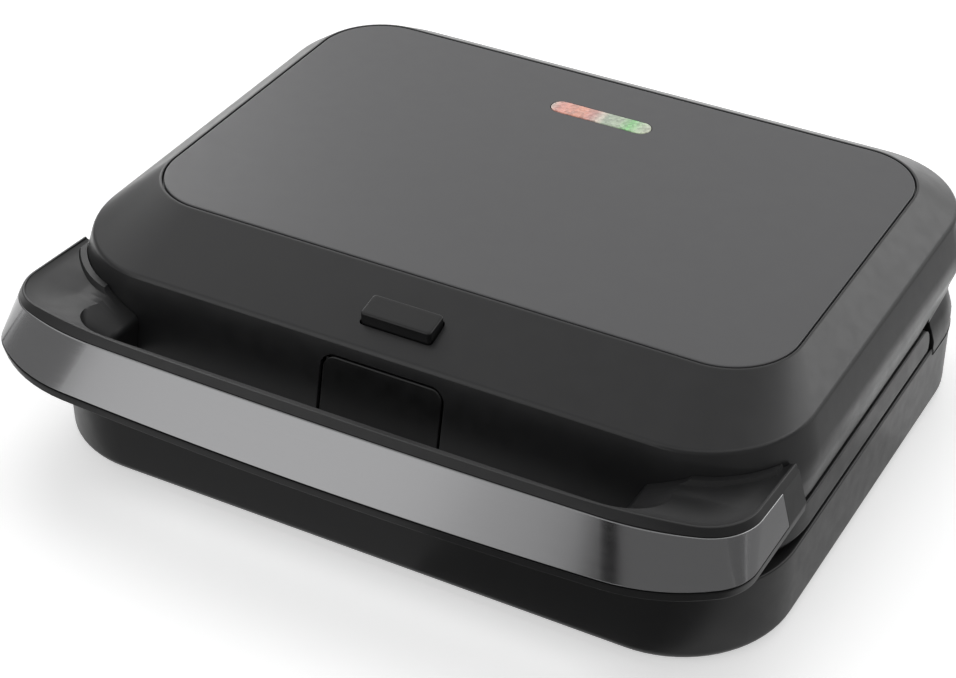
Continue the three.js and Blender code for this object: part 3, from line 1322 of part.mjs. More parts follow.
function lidParts() {
  part('lid_hood', hoodShell(), finish.hoodCharcoal);
  part('lid_frame', frameBody(), finish.shellBlack);
  part('top_panel', panelBody(), finish.panelGrey);
  part('handle_band', bandBody(), finish.bandMetal);
  part('handle_cover', handleCoverBody(), finish.shellBlack);
  const handleScrews = handlePlaces.map((p) => screwAt(p, handle.bottom + CLEAR, handleScrew.length));
  sidedPart('handle_screw_inner', handleScrews[0], finish.steel);
  sidedPart('handle_screw_outer', handleScrews[1], finish.steel);
  sidedPart('frame_screw_side', screwAt(framePlaces[0], level.frameBottom + CLEAR), finish.steel);
  sidedPart('frame_screw_rear', screwAt(framePlaces[1], level.frameBottom + CLEAR), finish.steel);
  part('upper_cooking_plate', upperPlateBody(), finish.castDark);
  part('upper_heating_element', elementTube(upperElementZ), finish.darkSteel);
  const ceiling = upperElementZ + element.radius + tray.gap + SHEET;
  const clipZ = [upperElementZ + element.radius + CLEAR, ceiling - CLEAR];
  sidedPart('upper_element_clip', elementClip(clipZ), finish.steel);
  part('upper_reflector', upperTray(), finish.steel);
  part('indicator_lens', lensBody(), finish.clear);
  const boardY = [indicator.front, indicator.rear];
  const board = box([-indicator.half, indicator.half], boardY, [indicator.bottom, indicator.top]);
  part('indicator_board', board, finish.board);
  const lightZ = [indicator.top + CLEAR, lens.bottom - CLEAR];
  part('heating_light', rod(ALONG_Z, light.radius, lightZ, -light.x, lens.y), finish.red);
  part('ready_light', rod(ALONG_Z, light.radius, lightZ, light.x, lens.y), finish.green);
  const trayTop = ceiling + SHEET;
  const discZ = [trayTop + CLEAR, trayTop + CLEAR + thermostat.height];
  part('upper_thermostat', rod(ALONG_Z, thermostat.radius, discZ, 0, thermostat.y), finish.ceramic);
  const fuseZ = trayTop + CLEAR + fuse.radius;
  part('thermal_fuse', rod(ALONG_X, fuse.radius, [fuse.from, fuse.to], fuse.y, fuseZ), finish.ceramic);
  const [toFuse, toThermostat] = lidLeads(trayTop, fuseZ);
  part('lid_lead_fuse', toFuse, finish.ceramic);
  part('lid_lead_thermostat', toThermostat, finish.ceramic);
  const leverPinX = [-lever.lugOuter, lever.lugOuter];
  const leverPin = rod(ALONG_X, lever.pinRadius, leverPinX, lever.pivotY, lever.pivotZ, SCREW_SIDES);
  part('latch_pin', leverPin, finish.steel);
  const coilX = [-lever.shankHalf, lever.shankHalf];
  const leverSpring = springOn(lever.pinRadius, coilX, lever.pivotY, lever.pivotZ);
  part('latch_spring', leverSpring, finish.steel);
  const c = upperCatch;
  const catchPin = rod(ALONG_X, c.pinRadius, [-c.lugOuter, c.lugOuter], c.pinY, c.pinZ, SCREW_SIDES);
  part('upper_catch_pin', catchPin, finish.steel);
  const catchSpring = springOn(c.pinRadius, [c.legOuter + CLEAR, c.lugInner - CLEAR], c.pinY, c.pinZ);
  part('upper_catch_spring', catchSpring, finish.steel);
  part('latch_lever', leverBody(), finish.hoodCharcoal);
  part('upper_plate_catch', upperCatchBody(), finish.steel);
  part('upper_release_button', upperButtonBody(), finish.shellBlack);
}

baseParts();
lidParts();

export default maker;
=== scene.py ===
"""The looks of a three-in-one sandwich maker: fine shells round the frame, finishes and a plain studio.

Metres, +Z up, +X to the right and +Y to the rear, as in the frame. Laid out as an add-on, run as a script."""

import json
import math
from collections import namedtuple

import bmesh
import bpy
import numpy as np
from mathutils import Matrix, Vector

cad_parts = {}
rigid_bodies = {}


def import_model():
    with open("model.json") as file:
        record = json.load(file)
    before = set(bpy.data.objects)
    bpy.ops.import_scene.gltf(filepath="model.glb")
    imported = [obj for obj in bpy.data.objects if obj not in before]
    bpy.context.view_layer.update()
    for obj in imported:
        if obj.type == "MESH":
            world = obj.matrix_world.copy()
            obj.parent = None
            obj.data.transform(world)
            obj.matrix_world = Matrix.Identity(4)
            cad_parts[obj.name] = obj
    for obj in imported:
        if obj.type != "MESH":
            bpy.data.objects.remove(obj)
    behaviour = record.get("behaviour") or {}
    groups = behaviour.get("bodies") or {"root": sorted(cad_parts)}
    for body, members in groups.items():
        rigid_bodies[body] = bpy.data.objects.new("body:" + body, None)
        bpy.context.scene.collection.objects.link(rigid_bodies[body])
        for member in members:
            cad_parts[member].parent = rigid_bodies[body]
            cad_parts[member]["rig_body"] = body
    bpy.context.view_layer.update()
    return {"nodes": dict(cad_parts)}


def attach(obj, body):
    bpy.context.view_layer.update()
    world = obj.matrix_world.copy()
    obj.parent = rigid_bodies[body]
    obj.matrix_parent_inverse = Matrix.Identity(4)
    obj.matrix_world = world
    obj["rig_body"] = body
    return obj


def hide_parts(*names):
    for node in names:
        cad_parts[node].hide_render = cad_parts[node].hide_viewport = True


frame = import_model()

bl_info = {
    "name": "Sandwich maker",
    "version": (1, 0, 0),
    "blender": (4, 5, 0),
    "location": "3D View > Sidebar > Sandwich maker",
    "description": "Builds the visible pieces, finishes and stage of a hinged sandwich maker",
    "category": "Object",
}

# Sizes that many pieces share
WALL = 0.0025
SHEET = 0.001
CLEAR = 0.0003
OVERRUN = 0.006
MERGE = 0.00001
CUT_EDGE = 0.0003
EDGE_SEGMENTS = 2
EDGE_ABOVE = math.radians(40)
SMOOTH_BELOW = math.radians(32)
BEND_REACH_SHARE = 0.45

# Heights of the seams and edges above the table
FOOT_TOP = 0.003
BASE_EDGE = 0.005
FLANGE_LOW = 0.0318
BASE_TOP = 0.0348
FRAME_BOTTOM = 0.0362
FRAME_FLOOR = 0.0387
FRAME_TOP = 0.0493
HOOD_REAR = 0.0485
HOOD_BOTTOM = 0.0507
BULGE_LOW = 0.060
BULGE = 0.066
EDGE = 0.0811
RECESS = 0.0899
PANEL_TOP = 0.0922
COVER_TOP = 0.0055

# Plan outlines: half width, front and rear edges, corner radii, how far the front edge bows out, and the
# length and the turn of a gentle bend that leads into the front corners
Plan = namedtuple("Plan", "half front rear corner rear_corner bow ease turn", defaults=(0, 0, 0))
BASE_FOOT = Plan(half=0.152, front=-0.105, rear=0.130, corner=0.0435, rear_corner=0.040)
BASE_WALL = Plan(half=0.1535, front=-0.1065, rear=0.1315, corner=0.045, rear_corner=0.0415)
BASE_RIM = Plan(half=0.1538, front=-0.1065, rear=0.1315, corner=0.045, rear_corner=0.0415)
HOOD_LOW = Plan(half=0.1524, front=-0.093, rear=0.137, corner=0.045, rear_corner=0.042)
HOOD_BULGE_LOW = Plan(half=0.1538, front=-0.0908, rear=0.137, corner=0.0445, rear_corner=0.042)
HOOD_BULGE = Plan(half=0.1538, front=-0.0894, rear=0.137, corner=0.0442, rear_corner=0.0422)
HOOD_EDGE = Plan(half=0.150, front=-0.0858, rear=0.137, corner=0.0428, rear_corner=0.0428)
PANEL = Plan(half=0.1342, front=-0.049, rear=0.1165, corner=0.027, rear_corner=0.027)
FRAME_RING = Plan(half=0.1538, front=-0.095, rear=0.1315, corner=0.045, rear_corner=0.0415)
PLATE = Plan(half=0.132, front=-0.080, rear=0.084, corner=0.012, rear_corner=0.012)
HANDLE_LOW = Plan(
    half=0.1556, front=-0.1330, rear=0.060,
    corner=0.0193, rear_corner=0.020, bow=0.0033, ease=0.0252, turn=0.686,
)
HANDLE_BULGE = Plan(
    half=0.1561, front=-0.1339, rear=0.060,
    corner=0.0195, rear_corner=0.020, bow=0.0033, ease=0.0253, turn=0.686,
)
HANDLE_RIM = Plan(
    half=0.1526, front=-0.1210, rear=0.060,
    corner=0.0222, rear_corner=0.020, bow=0.0013, ease=0.0260, turn=0.359,
)
HANDLE_RIDGE = Plan(
    half=0.1511, front=-0.1198, rear=0.060,
    corner=0.0212, rear_corner=0.020, bow=0.0012, ease=0.0394, turn=0.223,
)
FINGER_HOLE = Plan(half=0.106, front=-0.1155, rear=-0.070, corner=0.014, rear_corner=0.010)
FINGER_MOUTH = Plan(half=0.124, front=-0.1168, rear=-0.070, corner=0.022, rear_corner=0.010)
HOLLOW_END = Plan(half=0.116, front=-0.1155, rear=-0.070, corner=0.024, rear_corner=0.010)

# How finely outlines and bends are divided
CORNER_STEPS = 18
LEAD_STEPS = 8
FRONT_STEPS = 24
SIDE_STEPS = 12
BEND_STEPS = 4
ROUND_SIDES = 40

# The hinge along X at the rear
HINGE_Y = 0.125
HINGE_Z = 0.050
BARREL = 0.012
KNUCKLE = 0.009
LUG = 0.008
HINGE_PIN = 0.003
KNUCKLE_X = (0.092, 0.108)
KNUCKLE_Y = (0.1168, 0.131)
KNUCKLE_GAP = 0.0015
KNUCKLE_ROOM_Y = 0.118
KNUCKLE_ROOM_TOP = 0.0615
LUG_SPANS = ((0.0845, 0.0905), (0.1095, 0.1155))
LUG_ARM_Y = 0.108
LUG_ARM_TOP = 0.0488

X_AXIS, Y_AXIS, Z_AXIS = "XYZ"
HALF_TURN = math.pi
QUARTER_TURN = math.pi / 2


# Outlines and meshes

def arc(u, v, radius, start, end, steps=CORNER_STEPS):
    """Points on an arc about (u, v), both ends included."""
    angle = np.linspace(start, end, steps + 1)
    return np.stack([u + radius * np.cos(angle), v + radius * np.sin(angle)], axis=1)


def corner_arcs(plan, x, y, corner, lean):
    """The right front corner from the bowed front to the side: one arc, or a gentle and a tight one."""
    if not plan.turn:
        return arc(x - corner, y + corner, corner, lean - QUARTER_TURN, 0)
    gentle = (plan.ease + corner * math.sin(plan.turn)) / (math.sin(plan.turn) - math.sin(lean))
    middle_x = x - corner - plan.ease - gentle * math.sin(lean)
    middle_y = y + gentle * math.cos(lean)
    tight_x = middle_x + (gentle - corner) * math.sin(plan.turn)
    tight_y = middle_y - (gentle - corner) * math.cos(plan.turn)
    lead = arc(middle_x, middle_y, gentle, lean - QUARTER_TURN, plan.turn - QUARTER_TURN, LEAD_STEPS)
    tight = arc(tight_x, tight_y, corner, plan.turn - QUARTER_TURN, 0, CORNER_STEPS - LEAD_STEPS)
    return np.concatenate([lead, tight[1:]])


def outline(plan, grow=0.0):
    """Points of a plan outline, from the left end of its front left corner round to the right."""
    half, front, rear = plan.half + grow, plan.front - grow, plan.rear + grow
    corner = max(plan.corner + grow, CLEAR)
    rear_corner = max(plan.rear_corner + grow, CLEAR)
    span = half - corner - plan.ease
    lean = math.atan2(2 * plan.bow, span)
    if plan.turn:
        reach, bow, base = span, plan.bow, front
    else:
        reach = span + corner * math.sin(lean)
        bow = plan.bow + corner * (1 - math.cos(lean))
        base = front + corner * (1 - math.cos(lean))
    share = np.linspace(-1, 1, FRONT_STEPS + 1)[1:-1]
    bowed = np.stack([share * reach, base - bow * (1 - share**2)], axis=1)
    right_corner = corner_arcs(plan, half, front, corner, lean)
    left_corner = right_corner[::-1] * (-1, 1)
    side = np.linspace(right_corner[-1][1], rear - rear_corner, SIDE_STEPS + 1)[1:-1]
    right_side = np.stack([np.full(len(side), half), side], axis=1)
    left_side = np.stack([np.full(len(side), -half), side[::-1]], axis=1)
    return np.concatenate([
        left_corner,
        bowed,
        right_corner,
        right_side,
        arc(half - rear_corner, rear - rear_corner, rear_corner, 0, QUARTER_TURN),
        arc(-half + rear_corner, rear - rear_corner, rear_corner, QUARTER_TURN, HALF_TURN),
        left_side,
    ])


def between(low, high, share):
    return Plan(*(a + (b - a) * share for a, b in zip(low, high)))


def at_height(points, z):
    """Plan points lifted to one height, or each to its own."""
    return np.column_stack([points, np.broadcast_to(z, len(points))])


def ring(plan, z, grow=0.0):
    return at_height(outline(plan, grow), z)


def wider(span, by):
    return (span[0] - by, span[1] + by)


def bend_point(start, corner, end, t):
    """A point on the curve from start to end that the corner pulls towards it."""
    return (1 - t) ** 2 * start + 2 * t * (1 - t) * corner + t**2 * end


def soften(rings, reaches):
    """Bends the edges along the inner rings: each bend begins and ends its reach away from the edge."""
    bent = [rings[0]]
    for before, here, after, reach in zip(rings, rings[1:], rings[2:], reaches):
        ends = []
        for other in (before, after):
            way = other - here
            length = np.linalg.norm(way, axis=1, keepdims=True)
            ends.append(here + way * np.minimum(reach / np.maximum(length, MERGE), BEND_REACH_SHARE))
        if reach:
            bent += [bend_point(ends[0], here, ends[1], t) for t in np.linspace(0, 1, BEND_STEPS + 1)]
        else:
            bent.append(here)
    bent.append(rings[-1])
    return bent


def new_object(name, mesh):
    obj = bpy.data.objects.new(name, mesh)
    bpy.context.scene.collection.objects.link(obj)
    return obj


def mesh_object(name, points, faces, edges=()):
    mesh = bpy.data.meshes.new(name)
    mesh.from_pydata([tuple(map(float, p)) for p in points], list(edges), faces)
    return new_object(name, mesh)


def face_outwards(obj, merge=0.0):
    """Merges points that are as good as one, where asked, and turns a closed mesh's faces outwards."""
    cage = bmesh.new()
    cage.from_mesh(obj.data)
    if merge:
        bmesh.ops.remove_doubles(cage, verts=cage.verts, dist=merge)
    bmesh.ops.recalc_face_normals(cage, faces=cage.faces)
    cage.to_mesh(obj.data)
    cage.free()
    return obj


def loft(rings):
    """A closed body through rings with as many points each."""
    count = len(rings[0])
    faces = []
    for level in range(len(rings) - 1):
        for i in range(count):
            a, b = level * count + i, level * count + (i + 1) % count
            faces.append((a, b, b + count, a + count))
    top = (len(rings) - 1) * count
    faces.append(tuple(range(count))[::-1])
    faces.append(tuple(top + i for i in range(count)))
    return face_outwards(mesh_object("body", np.concatenate(rings), faces))


def slab(plan, z, grow=0.0):
    return loft([ring(plan, z[0], grow), ring(plan, z[1], grow)])


def prism(axis, points, span):
    """Points (u, v) swept along an axis: u and v are the two other coordinates in the order x, y, z."""
    points = np.asarray(points, float)
    place = "XYZ".index(axis)
    return loft([np.insert(points, place, end, axis=1) for end in span])


def box(x, y, z):
    return prism(Z_AXIS, [(x[0], y[0]), (x[1], y[0]), (x[1], y[1]), (x[0], y[1])], z)


def circle(u, v, radius):
    return arc(u, v, radius, 0, 2 * HALF_TURN, ROUND_SIDES)[:-1]


def rod(axis, radius, span, u, v):
    return prism(axis, circle(u, v, radius), span)


def soft_rod(axis, radius, span, u, v, edge):
    """A rod whose two rims are rounded."""
    place = "XYZ".index(axis)
    rings = []
    for end, inset in ((span[0], 2 * edge), (span[0], 0), (span[1], 0), (span[1], 2 * edge)):
        rings.append(np.insert(circle(u, v, radius - inset), place, end, axis=1))
    return loft(soften(rings, [edge, edge]))


def mirrored(obj):
    """A copy on the object's other side."""
    mesh = obj.data.copy()
    mesh.transform(Matrix.Scale(-1, 4, Vector((1, 0, 0))))
    mesh.flip_normals()
    return new_object(obj.name, mesh)


def both_sides(*objs):
    return [one for obj in objs for one in (obj, mirrored(obj))]


def plain_mesh(obj):
    """Replaces an object's mesh by what its modifiers make of it."""
    graph = bpy.context.evaluated_depsgraph_get()
    mesh = bpy.data.meshes.new_from_object(obj.evaluated_get(graph))
    obj.modifiers.clear()
    obj.data = mesh
    return obj


def combine(body, tools, operation):
    for tool in tools:
        step = body.modifiers.new("combine", "BOOLEAN")
        step.solver = "MANIFOLD"
        step.operation = operation
        step.object = tool
    plain_mesh(body)
    for tool in tools:
        bpy.data.objects.remove(tool)
    if not body.data.polygons:
        raise RuntimeError(f"{body.name} came out empty")
    return body


def join(body, *tools):
    return combine(body, tools, "UNION")


def cut(body, *tools):
    return combine(body, tools, "DIFFERENCE")


def common(body, *tools):
    return combine(body, tools, "INTERSECT")


def finish_piece(obj, name, body, material, nodes, edge=0.0):
    """Names a piece, rounds its cut edges, gives it its finish, sets what it rides on, and hides the nodes
    that it replaces.
    """
    obj.name = name
    obj.data.name = name
    face_outwards(obj, MERGE)
    obj.data.materials.clear()
    obj.data.materials.append(material)
    if edge:
        rounding = obj.modifiers.new("edges", "BEVEL")
        rounding.width = edge
        rounding.segments = EDGE_SEGMENTS
        rounding.limit_method = "ANGLE"
        rounding.angle_limit = EDGE_ABOVE
        rounding.use_clamp_overlap = False
        plain_mesh(obj)
    obj.data.shade_smooth()
    obj.data.set_sharp_from_angle(angle=SMOOTH_BELOW)
    even = obj.modifiers.new("even shading", "WEIGHTED_NORMAL")
    even.keep_sharp = True
    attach(obj, body)
    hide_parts(*nodes)


# Lid hood

SEAM_FROM = 0.060
SEAM_TO = 0.110
UNDERCUT = 0.0024
RIM = 0.0012
RIM_DROP = 0.0002
RIM_LAND = 0.004
STEP_Y = 0.0737
LEVER_HALF = 0.025
LEVER_TOP = 0.0745
LEVER_BOTTOM = 0.050
LEVER_CORNER = 0.005
LEVER_GAP = 0.001
LEVER_THICK = 0.0024
BUTTON_X = (-0.0162, 0.0134)
BUTTON_Y = (-0.0756, -0.0650)
BUTTON_TOP = (0.0887, 0.0907)
BUTTON_SKIRT = 0.078
BUTTON_GAP = 0.0004
LENS_HALF = 0.0225
LENS_RADIUS = 0.0045
LENS_Y = 0.0875
LENS_STEP = 0.0015


def rear_share(y):
    return np.clip((y - SEAM_FROM) / (SEAM_TO - SEAM_FROM), 0, 1)


def hood_rings(low_z, grow=0.0):
    low = outline(HOOD_LOW, grow)
    low[:, 0] -= np.sign(low[:, 0]) * UNDERCUT * rear_share(low[:, 1])
    return [
        at_height(low, low_z),
        at_height(low, HOOD_BOTTOM),
        ring(HOOD_BULGE_LOW, BULGE_LOW, grow),
        ring(HOOD_BULGE, BULGE, grow),
        ring(HOOD_EDGE, EDGE, grow),
        ring(PANEL, PANEL_TOP - RIM_DROP, grow + RIM),
    ]


def hood_side(radius, bottom, rear_bottom):
    far_front, far_rear = HOOD_LOW.front - 2 * OVERRUN, HOOD_LOW.rear + OVERRUN
    roll = arc(HINGE_Y, HINGE_Z, radius, -QUARTER_TURN, 0)
    top = PANEL_TOP + OVERRUN
    points = [(far_front, bottom), (STEP_Y, bottom), (STEP_Y, rear_bottom), (HINGE_Y, rear_bottom)]
    if rear_bottom == bottom:
        points = [(far_front, bottom), (HINGE_Y, bottom)]
    return np.concatenate([points, roll, [(far_rear, HINGE_Z), (far_rear, top), (far_front, top)]])


def front_wall(z):
    """How far forward the hood's front wall stands at a height."""
    share = (z - HOOD_BOTTOM) / (EDGE - HOOD_BOTTOM)
    return HOOD_LOW.front + (HOOD_EDGE.front - HOOD_LOW.front) * share


def lever_outline(grow):
    """Points (x, z) of the latch lever's face, its two upper corners rounded."""
    half, top, corner = LEVER_HALF + grow, LEVER_TOP + grow, LEVER_CORNER + grow
    return np.concatenate([
        [(-half, LEVER_BOTTOM - grow), (half, LEVER_BOTTOM - grow)],
        arc(half - corner, top - corner, corner, 0, QUARTER_TURN),
        arc(-half + corner, top - corner, corner, QUARTER_TURN, HALF_TURN),
    ])


def capsule(half, radius):
    return np.concatenate([
        arc(half - radius, LENS_Y, radius, -QUARTER_TURN, QUARTER_TURN),
        arc(-half + radius, LENS_Y, radius, QUARTER_TURN, HALF_TURN + QUARTER_TURN),
    ])


def rounded_box_outline(x, y, corner):
    return np.concatenate([
        arc(x[0] + corner, y[0] + corner, corner, HALF_TURN, HALF_TURN + QUARTER_TURN),
        arc(x[1] - corner, y[0] + corner, corner, -QUARTER_TURN, 0),
        arc(x[1] - corner, y[1] - corner, corner, 0, QUARTER_TURN),
        arc(x[0] + corner, y[1] - corner, corner, QUARTER_TURN, HALF_TURN),
    ])


HOOD_BENDS = (0, 0.0012, 0.003, 0.0014, 0.0005)
BUTTON_CORNER = 0.0015


def hood_shell():
    across = wider((-HOOD_BULGE.half, HOOD_BULGE.half), OVERRUN)
    top = PANEL_TOP + OVERRUN
    rings = hood_rings(HINGE_Z - BARREL - SHEET)
    rings.append(ring(PANEL, PANEL_TOP - RIM_DROP, RIM - RIM_LAND))
    shell = common(
        loft(soften(rings, HOOD_BENDS)),
        prism(X_AXIS, hood_side(BARREL, HOOD_BOTTOM, HOOD_REAR), across),
    )
    inner = hood_rings(FOOT_TOP, -WALL)[:-1]
    inner[-1] = ring(HOOD_EDGE, EDGE - WALL, -WALL)
    inner.append(ring(PANEL, RECESS - WALL, -RIM))
    hollow = common(loft(inner), prism(X_AXIS, hood_side(BARREL - WALL, FOOT_TOP, FOOT_TOP), across))
    lever_room = (HOOD_LOW.front - OVERRUN, front_wall(EDGE) + WALL + SHEET)
    lever_hole = prism(Y_AXIS, lever_outline(LEVER_GAP), lever_room)
    button = rounded_box_outline(wider(BUTTON_X, BUTTON_GAP), wider(BUTTON_Y, BUTTON_GAP), BUTTON_CORNER)
    button_hole = prism(Z_AXIS, button, (BUTTON_SKIRT, top))
    lens = capsule(LENS_HALF - LENS_STEP + CLEAR, LENS_RADIUS - LENS_STEP + CLEAR)
    lens_hole = prism(Z_AXIS, lens, (BULGE, top))
    knuckle_y = (KNUCKLE_ROOM_Y, HOOD_LOW.rear + OVERRUN)
    knuckle_room = box(wider(KNUCKLE_X, KNUCKLE_GAP), knuckle_y, (BASE_TOP, KNUCKLE_ROOM_TOP))
    recess = slab(PANEL, (RECESS, top), CLEAR)
    return cut(shell, hollow, recess, lever_hole, button_hole, lens_hole, *both_sides(knuckle_room))


PANEL_EDGE = 0.0006


def panel_inlay():
    rings = [
        ring(PANEL, RECESS + CLEAR, -CLEAR),
        ring(PANEL, PANEL_TOP, -CLEAR),
        ring(PANEL, PANEL_TOP, -CLEAR - 4 * PANEL_EDGE),
    ]
    lens = capsule(LENS_HALF + CLEAR, LENS_RADIUS + CLEAR)
    lens_hole = prism(Z_AXIS, lens, wider((RECESS, PANEL_TOP), OVERRUN))
    return cut(loft(soften(rings, [PANEL_EDGE])), lens_hole)


# Lid frame with the handle

FRAME_OPENING = 0.0004
INNER_WALL = 0.002
ARM_REAR = 0.071
ARM_ROUND = 0.006
BAR_HALF = 0.136
BAR_REAR = 0.113
HANDLE_BOTTOM = 0.0525
HANDLE_BULGE_Z = 0.0566
HANDLE_RIM_Z = 0.0736
HANDLE_RIDGE_Z = 0.0764
HANDLE_FALL = 0.07
HANDLE_REAR = -0.062
DISH_Z = 0.071
DISH_INSET = 0.0009
HOLLOW_TOP = 0.0675
HOLLOW_STEP = 0.058
WEB_LOW = 0.045
RIM_ROUND = 0.0006
BAND_THICK = 0.0012
BAND_REAR = -0.077
HANDLE_SKIN = BAND_THICK + CLEAR + WALL
NOTCH_X = (0.0272, 0.0368)
SLOT_HALF = 0.0116
SLOT_REAR = -0.0844
FRONT_INSIDE = -0.0925
TAB_X = (0.0692, 0.0908)
TAB_REAR = 0.0888
TERMINAL_X = 0.025
TERMINAL_HOLE = 0.004
UPPER_ELEMENT_Z = 0.0513


def handle_plan(z):
    if z <= HANDLE_BULGE_Z:
        return between(HANDLE_LOW, HANDLE_BULGE, (z - HANDLE_BOTTOM) / (HANDLE_BULGE_Z - HANDLE_BOTTOM))
    if z > HANDLE_RIM_Z:
        return between(HANDLE_RIM, HANDLE_RIDGE, (z - HANDLE_RIM_Z) / (HANDLE_RIDGE_Z - HANDLE_RIM_Z))
    return between(HANDLE_BULGE, HANDLE_RIM, (z - HANDLE_BULGE_Z) / (HANDLE_RIM_Z - HANDLE_BULGE_Z))


def fallen(points, z):
    """Plan points at a height of the handle, whose top falls away to the rear above its widest line."""
    share = np.clip((z - HANDLE_BULGE_Z) / (HANDLE_RIM_Z - HANDLE_BULGE_Z), 0, 1)
    return at_height(points, z - HANDLE_FALL * share * (points[:, 1] - HANDLE_RIM.front))


def handle_ring(plan, z, grow=0.0):
    return fallen(outline(plan, grow), z)


def handle_loft(grow, low, high):
    heights = [low, HANDLE_BULGE_Z, high] if low < HANDLE_BULGE_Z < high else [low, high]
    return loft([handle_ring(handle_plan(z), z, grow) for z in heights])


def front_zone(z, rear):
    """A block over the handle's whole width, from before its front back to a plane."""
    half = HANDLE_BULGE.half + OVERRUN
    return box((-half, half), (HANDLE_BULGE.front - HANDLE_BULGE.bow - OVERRUN, rear), z)


def handle_hollow():
    """The space inside the handle's bar and corners, open below."""
    low, high = HANDLE_BOTTOM - CLEAR, HOLLOW_TOP
    zone = (low - OVERRUN, high + OVERRUN)
    half = HANDLE_BULGE.half + OVERRUN
    behind = box((-half, half), (HANDLE_REAR - WALL, HANDLE_LOW.rear + OVERRUN), zone)
    mouth_zone = (HOLLOW_STEP, zone[1])
    return cut(
        handle_loft(-HANDLE_SKIN, low, high),
        behind,
        slab(HOLLOW_END, zone, WALL),
        slab(FINGER_MOUTH, mouth_zone, WALL),
        slab(FRAME_RING, zone),
    )


HANDLE_BENDS = (0.0008, 0.0008, 0.0002, 0.0004)
RIM_LEDGE = 0.003
DISH_BENDS = (0.004, 0.002, 0.0006)
DISH_EDGE = (0.004, 0.0013)
DISH_INSIDE = 0.020
FINGER_WALL_TOP = 0.0655
FINGER_LEVEL = 0.0728
FINGER_BENDS = (0.003, 0.004)
FILLET_FOOT = (0.0032, 0.0692)
FILLET_TOP = (0.0007, 0.0728)


def handle_body():
    top = HANDLE_RIDGE_Z + OVERRUN
    rings = [
        ring(HANDLE_LOW, HANDLE_BOTTOM, -RIM_LEDGE),
        ring(HANDLE_LOW, HANDLE_BOTTOM),
        ring(HANDLE_BULGE, HANDLE_BULGE_Z),
        handle_ring(HANDLE_RIM, HANDLE_RIM_Z),
        handle_ring(HANDLE_RIDGE, HANDLE_RIDGE_Z),
        handle_ring(HANDLE_RIDGE, HANDLE_RIDGE_Z, -RIM_LEDGE),
    ]
    body = common(loft(soften(rings, HANDLE_BENDS)), front_zone((HANDLE_BOTTOM - OVERRUN, top), HANDLE_REAR))
    web = common(slab(FRAME_RING, (WEB_LOW, DISH_Z)), front_zone((WEB_LOW - OVERRUN, top), HANDLE_REAR))
    dish = loft(soften([
        ring(HANDLE_RIDGE, DISH_Z, -DISH_INSIDE - RIM_LEDGE),
        ring(HANDLE_RIDGE, DISH_Z, -DISH_INSIDE),
        handle_ring(HANDLE_RIDGE, HANDLE_RIDGE_Z - DISH_EDGE[1], -DISH_EDGE[0]),
        handle_ring(HANDLE_RIDGE, HANDLE_RIDGE_Z - RIM_ROUND, -DISH_INSET),
        handle_ring(HANDLE_RIDGE, top, -DISH_INSET + RIM_ROUND),
    ], DISH_BENDS))
    fillet = loft([
        ring(HOOD_BULGE, FILLET_FOOT[1] - RIM_LEDGE, FILLET_FOOT[0]),
        ring(HOOD_BULGE, FILLET_FOOT[1], FILLET_FOOT[0]),
        ring(HOOD_BULGE, FILLET_TOP[1], FILLET_TOP[0]),
    ])
    fillet_zone = front_zone((BULGE, top), HANDLE_REAR - CLEAR)
    fillet = common(fillet, handle_loft(-RIM_LEDGE, HANDLE_BULGE_Z, top), fillet_zone)
    around_band = handle_loft(OVERRUN, HANDLE_BULGE_Z, HANDLE_RIM_Z - CLEAR)
    band_zone = common(around_band, front_zone((HANDLE_BOTTOM, top), BAND_REAR + CLEAR))
    band_space = cut(band_zone, handle_loft(-BAND_THICK - CLEAR, HANDLE_BOTTOM, HANDLE_RIM_Z))
    hood_space = loft(hood_rings(FRAME_TOP, CLEAR))
    fingers = loft(soften([
        ring(FINGER_HOLE, WEB_LOW - OVERRUN),
        ring(FINGER_HOLE, FINGER_WALL_TOP),
        ring(FINGER_MOUTH, FINGER_LEVEL),
        ring(FINGER_MOUTH, top, CLEAR),
    ], FINGER_BENDS))
    bar = join(cut(join(body, web), dish), fillet)
    return cut(bar, band_space, hood_space, fingers, handle_hollow())


ARM_FOOT = 0.0012
ARM_FOOT_RISE = 0.0022
ARM_DRAWN = 0.0006
ARM_BENDS = (0.0006, 0.0006)


